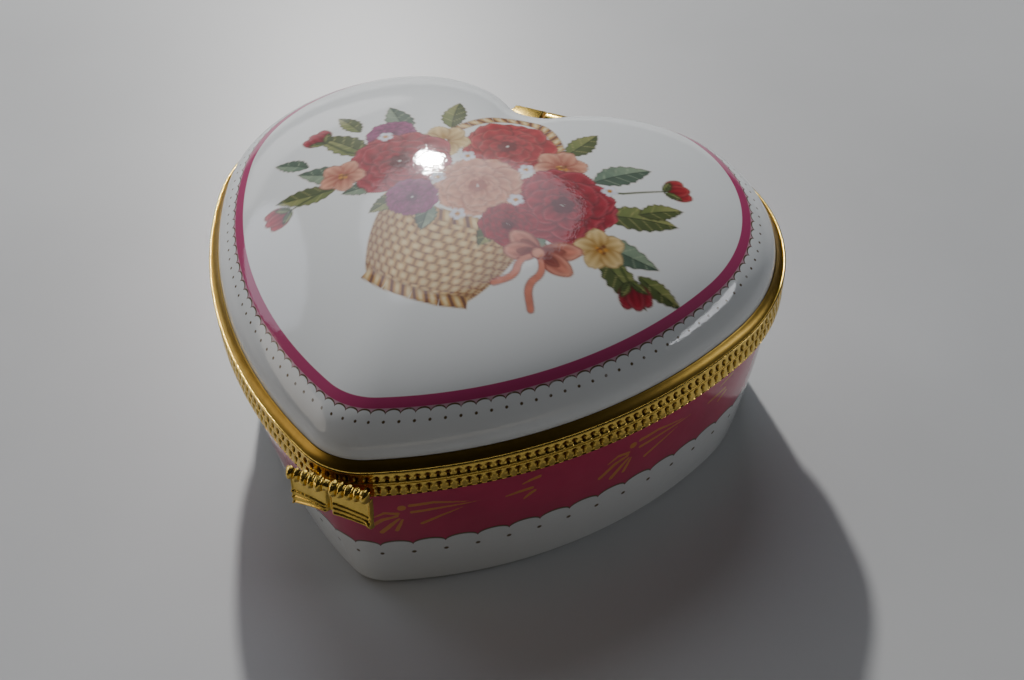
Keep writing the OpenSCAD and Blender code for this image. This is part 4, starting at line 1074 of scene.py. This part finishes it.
class MUSICBOX_OT_clasp(bpy.types.Operator):
    """Make the stamped bow clasp with its ribbed crest"""

    bl_idname = "musicbox.clasp"
    bl_label = "Bow Clasp"

    def execute(self, context):
        low, high = (np.array(c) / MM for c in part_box("clasp_bow"))
        half = (high[0] - low[0]) / 2 - 0.05
        crest = high[2]
        tip_y = BAND_LOW[1]
        nx, nt = 240, 130
        x = np.linspace(-half, half, nx)
        t = np.linspace(0, 1, nt)
        ax = np.abs(x)
        knot = 0.8  # half width of the bow's knot
        reach = unit((ax - knot) / (half - knot))  # 0 at the knot, 1 at the wings' ends
        bottom = crest - 6.2 - 1.05 * reach ** 1.5
        ribs = 5.5
        turn = np.pi * ribs * (x + 0.1 * np.sin(2.9 * x + 0.5) + 0.05 * np.sin(7 * x)) / half
        waist = ridge(x, 0.4)
        crest_line = crest - 0.3 * (1 - np.abs(np.cos(turn)) ** 0.7) - 0.12 * (ax / half) ** 2 - 0.3 * waist
        X = np.tile(x, (nt, 1))
        T = np.tile(t[:, None], (1, nx))
        Z = bottom + (crest_line - bottom) * T
        down = crest - Z
        rib = np.abs(np.cos(turn)) ** 0.8
        crest_shape = unit(1 - ((down - 0.98) / 0.98) ** 2) ** 0.5
        out = 1.32 + crest_shape * (0.68 + 0.6 * rib) * (1 - 0.4 * waist)
        up = Z - bottom
        # three lines along the right wing, and three that fan out over the left one
        for i in range(3):
            line = up - 0.42 - (0.84 - 0.14 * reach) * i
            out += 0.25 * ridge(line, 0.26) * unit((X - 0.3) * 3)
            fan = up - 0.35 - (0.5 + 0.55 * reach) * i
            out += 0.24 * ridge(fan, 0.17) * unit(-(X + 0.2) * 3)
        out -= 0.5 * ridge(X, 0.33) * unit(1.25 - T)
        out += 0.22 * ridge(ax - half + 0.18, 0.2) * (down > 2.1)
        # the wings lean back a little and catch the light
        out += 0.6 * (1 - T) ** 1.3 - 0.1 * ax
        out += 0.5 * np.exp(-(((X - half + 0.4) ** 2 + (up - 1.0) ** 2) / 0.16))
        edge = np.minimum((half - ax)[None, :], np.minimum(up, crest_line[None, :] - Z))
        out -= 0.35 * unit(1 - edge / 0.25) ** 2
        limit = tip_y - low[1] - 0.02
        front = np.minimum(out * 0.98, limit)
        Yf = tip_y - front
        Yb = np.maximum(tip_y - 0.9, Yf + 0.25)
        verts = np.concatenate([np.stack([X, Yf, Z], -1).reshape(-1, 3), np.stack([X, Yb, Z], -1).reshape(-1, 3)])
        faces = []
        size = nx * nt
        for j in range(nt - 1):
            for i in range(nx - 1):
                a, b, c, d = j * nx + i, j * nx + i + 1, (j + 1) * nx + i + 1, (j + 1) * nx + i
                faces += [(a, b, c, d), (a + size, d + size, c + size, b + size)]
        ring = [j * nx for j in range(nt)] + [(nt - 1) * nx + i for i in range(1, nx)]
        ring += [j * nx + nx - 1 for j in range(nt - 2, -1, -1)] + [i for i in range(nx - 2, 0, -1)]
        faces += [(a, b, b + size, a + size) for a, b in zip(ring, ring[1:] + ring[:1])]
        mesh = bpy.data.meshes.new("clasp")
        mesh.from_pydata((verts * MM).tolist(), [], faces)
        gilt = gilt_brass("brass gilt, cast clasp", context.scene.music_box_decor.gilt, roughness=0.22, hammered=0.8)
        finish_piece(add_object("clasp", mesh), "lid", gilt, "gilt_brass", "clasp_bow", sharp=60)
        return {"FINISHED"}


def eased(name, node_name, width):
    """A copy of a solid with its sharp edges rounded, as tumbling or filing leaves them."""
    bm = bmesh.new()
    bm.from_mesh(frame["nodes"][node_name].data)
    bmesh.ops.remove_doubles(bm, verts=bm.verts, dist=1e-7)
    bmesh.ops.dissolve_limit(bm, angle_limit=math.radians(2), verts=bm.verts, edges=bm.edges)
    sharp = [e for e in bm.edges if e.is_manifold and e.calc_face_angle(0) > math.radians(40)]
    bmesh.ops.bevel(bm, geom=sharp, offset=width * MM, segments=2, profile=0.6, affect="EDGES",
                    clamp_overlap=True)
    bmesh.ops.triangulate(bm, faces=[f for f in bm.faces if len(f.verts) > 4])
    mesh = bpy.data.meshes.new(name)
    bm.to_mesh(mesh)
    bm.free()
    return add_object(name, mesh)


class MUSICBOX_OT_hinge(bpy.types.Operator):
    """Make the gilt hinge leaves and pin with filed edges, and gild the catch"""

    bl_idname = "musicbox.hinge"
    bl_label = "Hinge and Catch"

    def execute(self, context):
        gilt = gilt_brass("brass gilt, filed hinge", context.scene.music_box_decor.gilt, roughness=0.22)
        for name, solid, body, width in (
            ("hinge_base_leaf", "base_hinge_leaf", "base", 0.22),
            ("hinge_lid_leaves", "lid_hinge_leaf", "lid", 0.22),
            ("hinge_pin_turned", "hinge_pin", "base", 0.18)):
            finish_piece(eased(name, solid, width), body, gilt, "gilt_brass", solid)
        nub = frame["nodes"]["catch_nub"]
        nub.data.materials.clear()
        nub.data.materials.append(gilt)
        return {"FINISHED"}


class MUSICBOX_OT_movement(bpy.types.Operator):
    """Give the movement, key, cover and feet their metals and plastics"""

    bl_idname = "musicbox.movement"
    bl_label = "Musical Movement"

    def execute(self, context):
        steel = turned_metal("steel turned bright", "#c9cccf", 0.22, 0.12, "X")
        nickel = turned_metal("steel nickel plated, brushed", "#c6c4bc", 0.3, 0.1, "X", strength=0.4)
        comb = turned_metal("comb steel ground", "#a8abad", 0.26, 0.08, "Y", dark=0.7)
        spring = turned_metal("spring steel tempered blue", "#59636f", 0.3, 0.1, "Z", dark=0.6)
        brass = turned_metal("brass turned", "#d0a04a", 0.24, 0.1, "X", dark=0.75)
        # injection moulded polystyrene: clear, hard and slightly cool, with faint flow marks
        clear, tree, shader = material("polystyrene clear, moulded", IOR=1.59, Transmission_Weight=1.0, Roughness=0.02)
        hue = node(tree, "MapRange", {
            "Value": node(tree, "TexNoise", {
                "Vector": node(tree, "TexCoord").outputs["Object"], "Scale": 1 / (12 * MM), "Detail": 1.0,
            }).outputs[0],
            "From Min": 0, "From Max": 1, "To Min": 0.93, "To Max": 0.99,
        }).outputs[0]
        cool = node(tree, "MixRGB", {
            "Fac": 1.0, "Color1": linear("#f4fafa"), "Color2": hue,
        }, blend_type="MULTIPLY").outputs[0]
        # the thin walls cast next to no shadow on the movement
        shadow = node(tree, "LightPath").outputs["Is Shadow Ray"]
        tree.links.new(cool, shader.inputs["Base Color"])
        tree.links.new(node(tree, "Math", {
            0: shadow, 1: -0.85, 2: 1.0,
        }, operation="MULTIPLY_ADD").outputs[0], shader.inputs["Alpha"])
        # pressed vulcanised fibre: dull, dark and faintly flecked
        fibre, tree, shader = material("vulcanised fibre pressed", Roughness=0.75, IOR=1.5)
        fleck = node(tree, "MixRGB", {
            "Fac": node(tree, "TexNoise", {
                "Vector": node(tree, "TexCoord").outputs["Object"], "Scale": 1 / (0.25 * MM), "Detail": 3.0,
            }).outputs[0],
            "Color1": linear("#2a2624"), "Color2": linear("#4a4440"),
        }).outputs[0]
        tree.links.new(fleck, shader.inputs["Base Color"])
        looks = {"nickel_steel": nickel, "bright_steel": steel, "comb_steel": comb, "spring_steel": spring,
                 "brass": brass, "clear_cover": clear, "fibre": fibre}
        slots = {part["node"]: part["material_slot"] for part in frame["record"]["subparts"]}
        for name, obj in frame["nodes"].items():
            if obj.hide_render or name == "catch_nub":
                continue
            look = looks[slots[name]]
            obj.data.materials.clear()
            obj.data.materials.append(look)
        return {"FINISHED"}


HORIZON = linear("#c3c6c9")
HORIZON_GLOW = 0.5  # brightness of the far floor and the room behind it, as the camera sees them
ROOM_LIGHT = 0.022  # brightness of the room as the pieces see it
# name, turn from the back and lift in degrees, distance, width and height in metres, watts, colour:
# a small bright lamp behind, a long reflector at the right, and soft panels round about
LAMPS = (
    ("key", -32.6, 35.9, 0.8, 0.036, 0.036, 4.9, "#fffdfa"),
    ("streak", 69, 28, 0.8, 0.42, 0.09, 0.65, "#f8faff"),
    ("left", -78, 28, 1.0, 0.5, 0.5, 1.3, "#ecf1ff"),
    ("behind", -30, 52, 1.0, 0.6, 0.6, 1.5, "#f0f4ff"),
    ("front", -116, 20, 0.9, 0.7, 0.4, 0.9, "#fff0dd"),
    ("horizon", -50, 12, 1.2, 0.8, 0.25, 0.5, "#ffffff"),
    ("near", 150, 8, 0.9, 1.4, 0.16, 0.3, "#fff0dc"),
)


class MUSICBOX_OT_stage(bpy.types.Operator):
    """Set the plain floor, the soft lights and the camera"""

    bl_idname = "musicbox.stage"
    bl_label = "Stage"

    def execute(self, context):
        stage = context.scene.music_box_stage
        low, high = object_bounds()
        mesh = bpy.data.meshes.new("floor")
        r = 3.0
        mesh.from_pydata([(-r, -r, low[2]), (r, -r, low[2]), (r, r, low[2]), (-r, r, low[2])], [], [(0, 1, 2, 3)])
        floor = add_object("floor", mesh)
        # honed pale stone, near plain: faint clouds a few centimetres across
        made, tree, shader = material("stone honed pale", Roughness=0.4, IOR=1.5)
        clouds = clouded(tree, tuple(stage.floor), 1000 / 18, 4.0, 0.92)
        # beyond the lamps' reach the floor glows faintly, up to a pale horizon
        place = node(tree, "TexCoord").outputs["Object"]
        reach = node(tree, "VectorMath", {0: place}, operation="LENGTH").outputs["Value"]
        shader.inputs["Emission Color"].default_value = HORIZON
        tree.links.new(clouds, shader.inputs["Base Color"])
        tree.links.new(node(tree, "MapRange", {
            "Value": reach, "From Min": 0.5, "From Max": 1.1, "To Max": HORIZON_GLOW,
        }).outputs[0], shader.inputs["Emission Strength"])
        mesh.materials.append(made)
        floor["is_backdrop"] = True
        middle = (Vector(low) + Vector(high)) / 2
        for name, turn, lift, away, wide, tall, power, hue in LAMPS:
            a, b = math.radians(turn), math.radians(lift)
            way = Vector((math.sin(a) * math.cos(b), math.cos(a) * math.cos(b), math.sin(b)))
            lamp = bpy.data.lights.new(name, "AREA")
            lamp.shape, lamp.size, lamp.size_y, lamp.energy = "ELLIPSE", wide, tall, power
            lamp.color = linear(hue)[:3]
            obj = add_object(name, lamp)
            obj.location = middle + way * away
            obj.rotation_euler = way.to_track_quat("Z", "Y").to_euler()
        world = bpy.data.worlds.new("room")
        world.use_nodes = True
        sky = world.node_tree.nodes["Background"].inputs
        sky["Color"].default_value = HORIZON
        seen = node(world.node_tree, "LightPath").outputs["Is Camera Ray"]
        strength = node(world.node_tree, "Math", {
            0: seen, 1: HORIZON_GLOW - ROOM_LIGHT, 2: ROOM_LIGHT,
        }, operation="MULTIPLY_ADD").outputs[0]
        world.node_tree.links.new(strength, sky["Strength"])
        context.scene.world = world
        az, el, roll = stage.azimuth, stage.elevation, stage.roll
        back = Vector((math.sin(az) * math.cos(el), -math.cos(az) * math.cos(el), math.sin(el)))
        right = Vector((math.cos(az), math.sin(az), 0))
        up = back.cross(right)
        side, over = right * math.cos(roll) + up * math.sin(roll), up * math.cos(roll) - right * math.sin(roll)
        data = bpy.data.cameras.new("camera")
        data.lens, data.sensor_width, data.clip_start = stage.lens, 36.0, 0.005
        camera = add_object("camera", data)
        camera.matrix_world = Matrix((side, over, back)).transposed().to_4x4()
        camera.matrix_world.translation = Vector(stage.aim) + back * stage.distance
        context.scene.camera = camera
        return {"FINISHED"}


class MUSICBOX_PT_panel(bpy.types.Panel):
    """Lists the music box's pieces and settings"""

    bl_label = "Heart Music Box"
    bl_idname = "MUSICBOX_PT_panel"
    bl_space_type = "VIEW_3D"
    bl_region_type = "UI"
    bl_category = "Music Box"

    def draw(self, context):
        column = self.layout.column(align=True)
        for operator in OPERATORS:
            column.operator(operator.bl_idname, text=operator.bl_label)
        for group in (context.scene.music_box_shape, context.scene.music_box_decor, context.scene.music_box_stage):
            box = self.layout.box()
            for name in group.__annotations__:
                box.prop(group, name)


GROUPS = (MusicBoxShape, MusicBoxDecor, MusicBoxStage)
OPERATORS = (MUSICBOX_OT_lid, MUSICBOX_OT_base, MUSICBOX_OT_bands, MUSICBOX_OT_clasp, MUSICBOX_OT_hinge,
             MUSICBOX_OT_movement, MUSICBOX_OT_stage)


def register():
    for cls in (*GROUPS, *OPERATORS, MUSICBOX_PT_panel):
        bpy.utils.register_class(cls)
    bpy.types.Scene.music_box_shape = PointerProperty(type=MusicBoxShape)
    bpy.types.Scene.music_box_decor = PointerProperty(type=MusicBoxDecor)
    bpy.types.Scene.music_box_stage = PointerProperty(type=MusicBoxStage)


def unregister():
    del bpy.types.Scene.music_box_shape, bpy.types.Scene.music_box_decor, bpy.types.Scene.music_box_stage
    for cls in reversed((*GROUPS, *OPERATORS, MUSICBOX_PT_panel)):
        bpy.utils.unregister_class(cls)


def main():
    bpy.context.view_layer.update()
    register()
    for step in ("lid", "base", "bands", "clasp", "hinge", "movement", "stage"):
        getattr(bpy.ops.musicbox, step)()


if __name__ == "__main__":
    main()
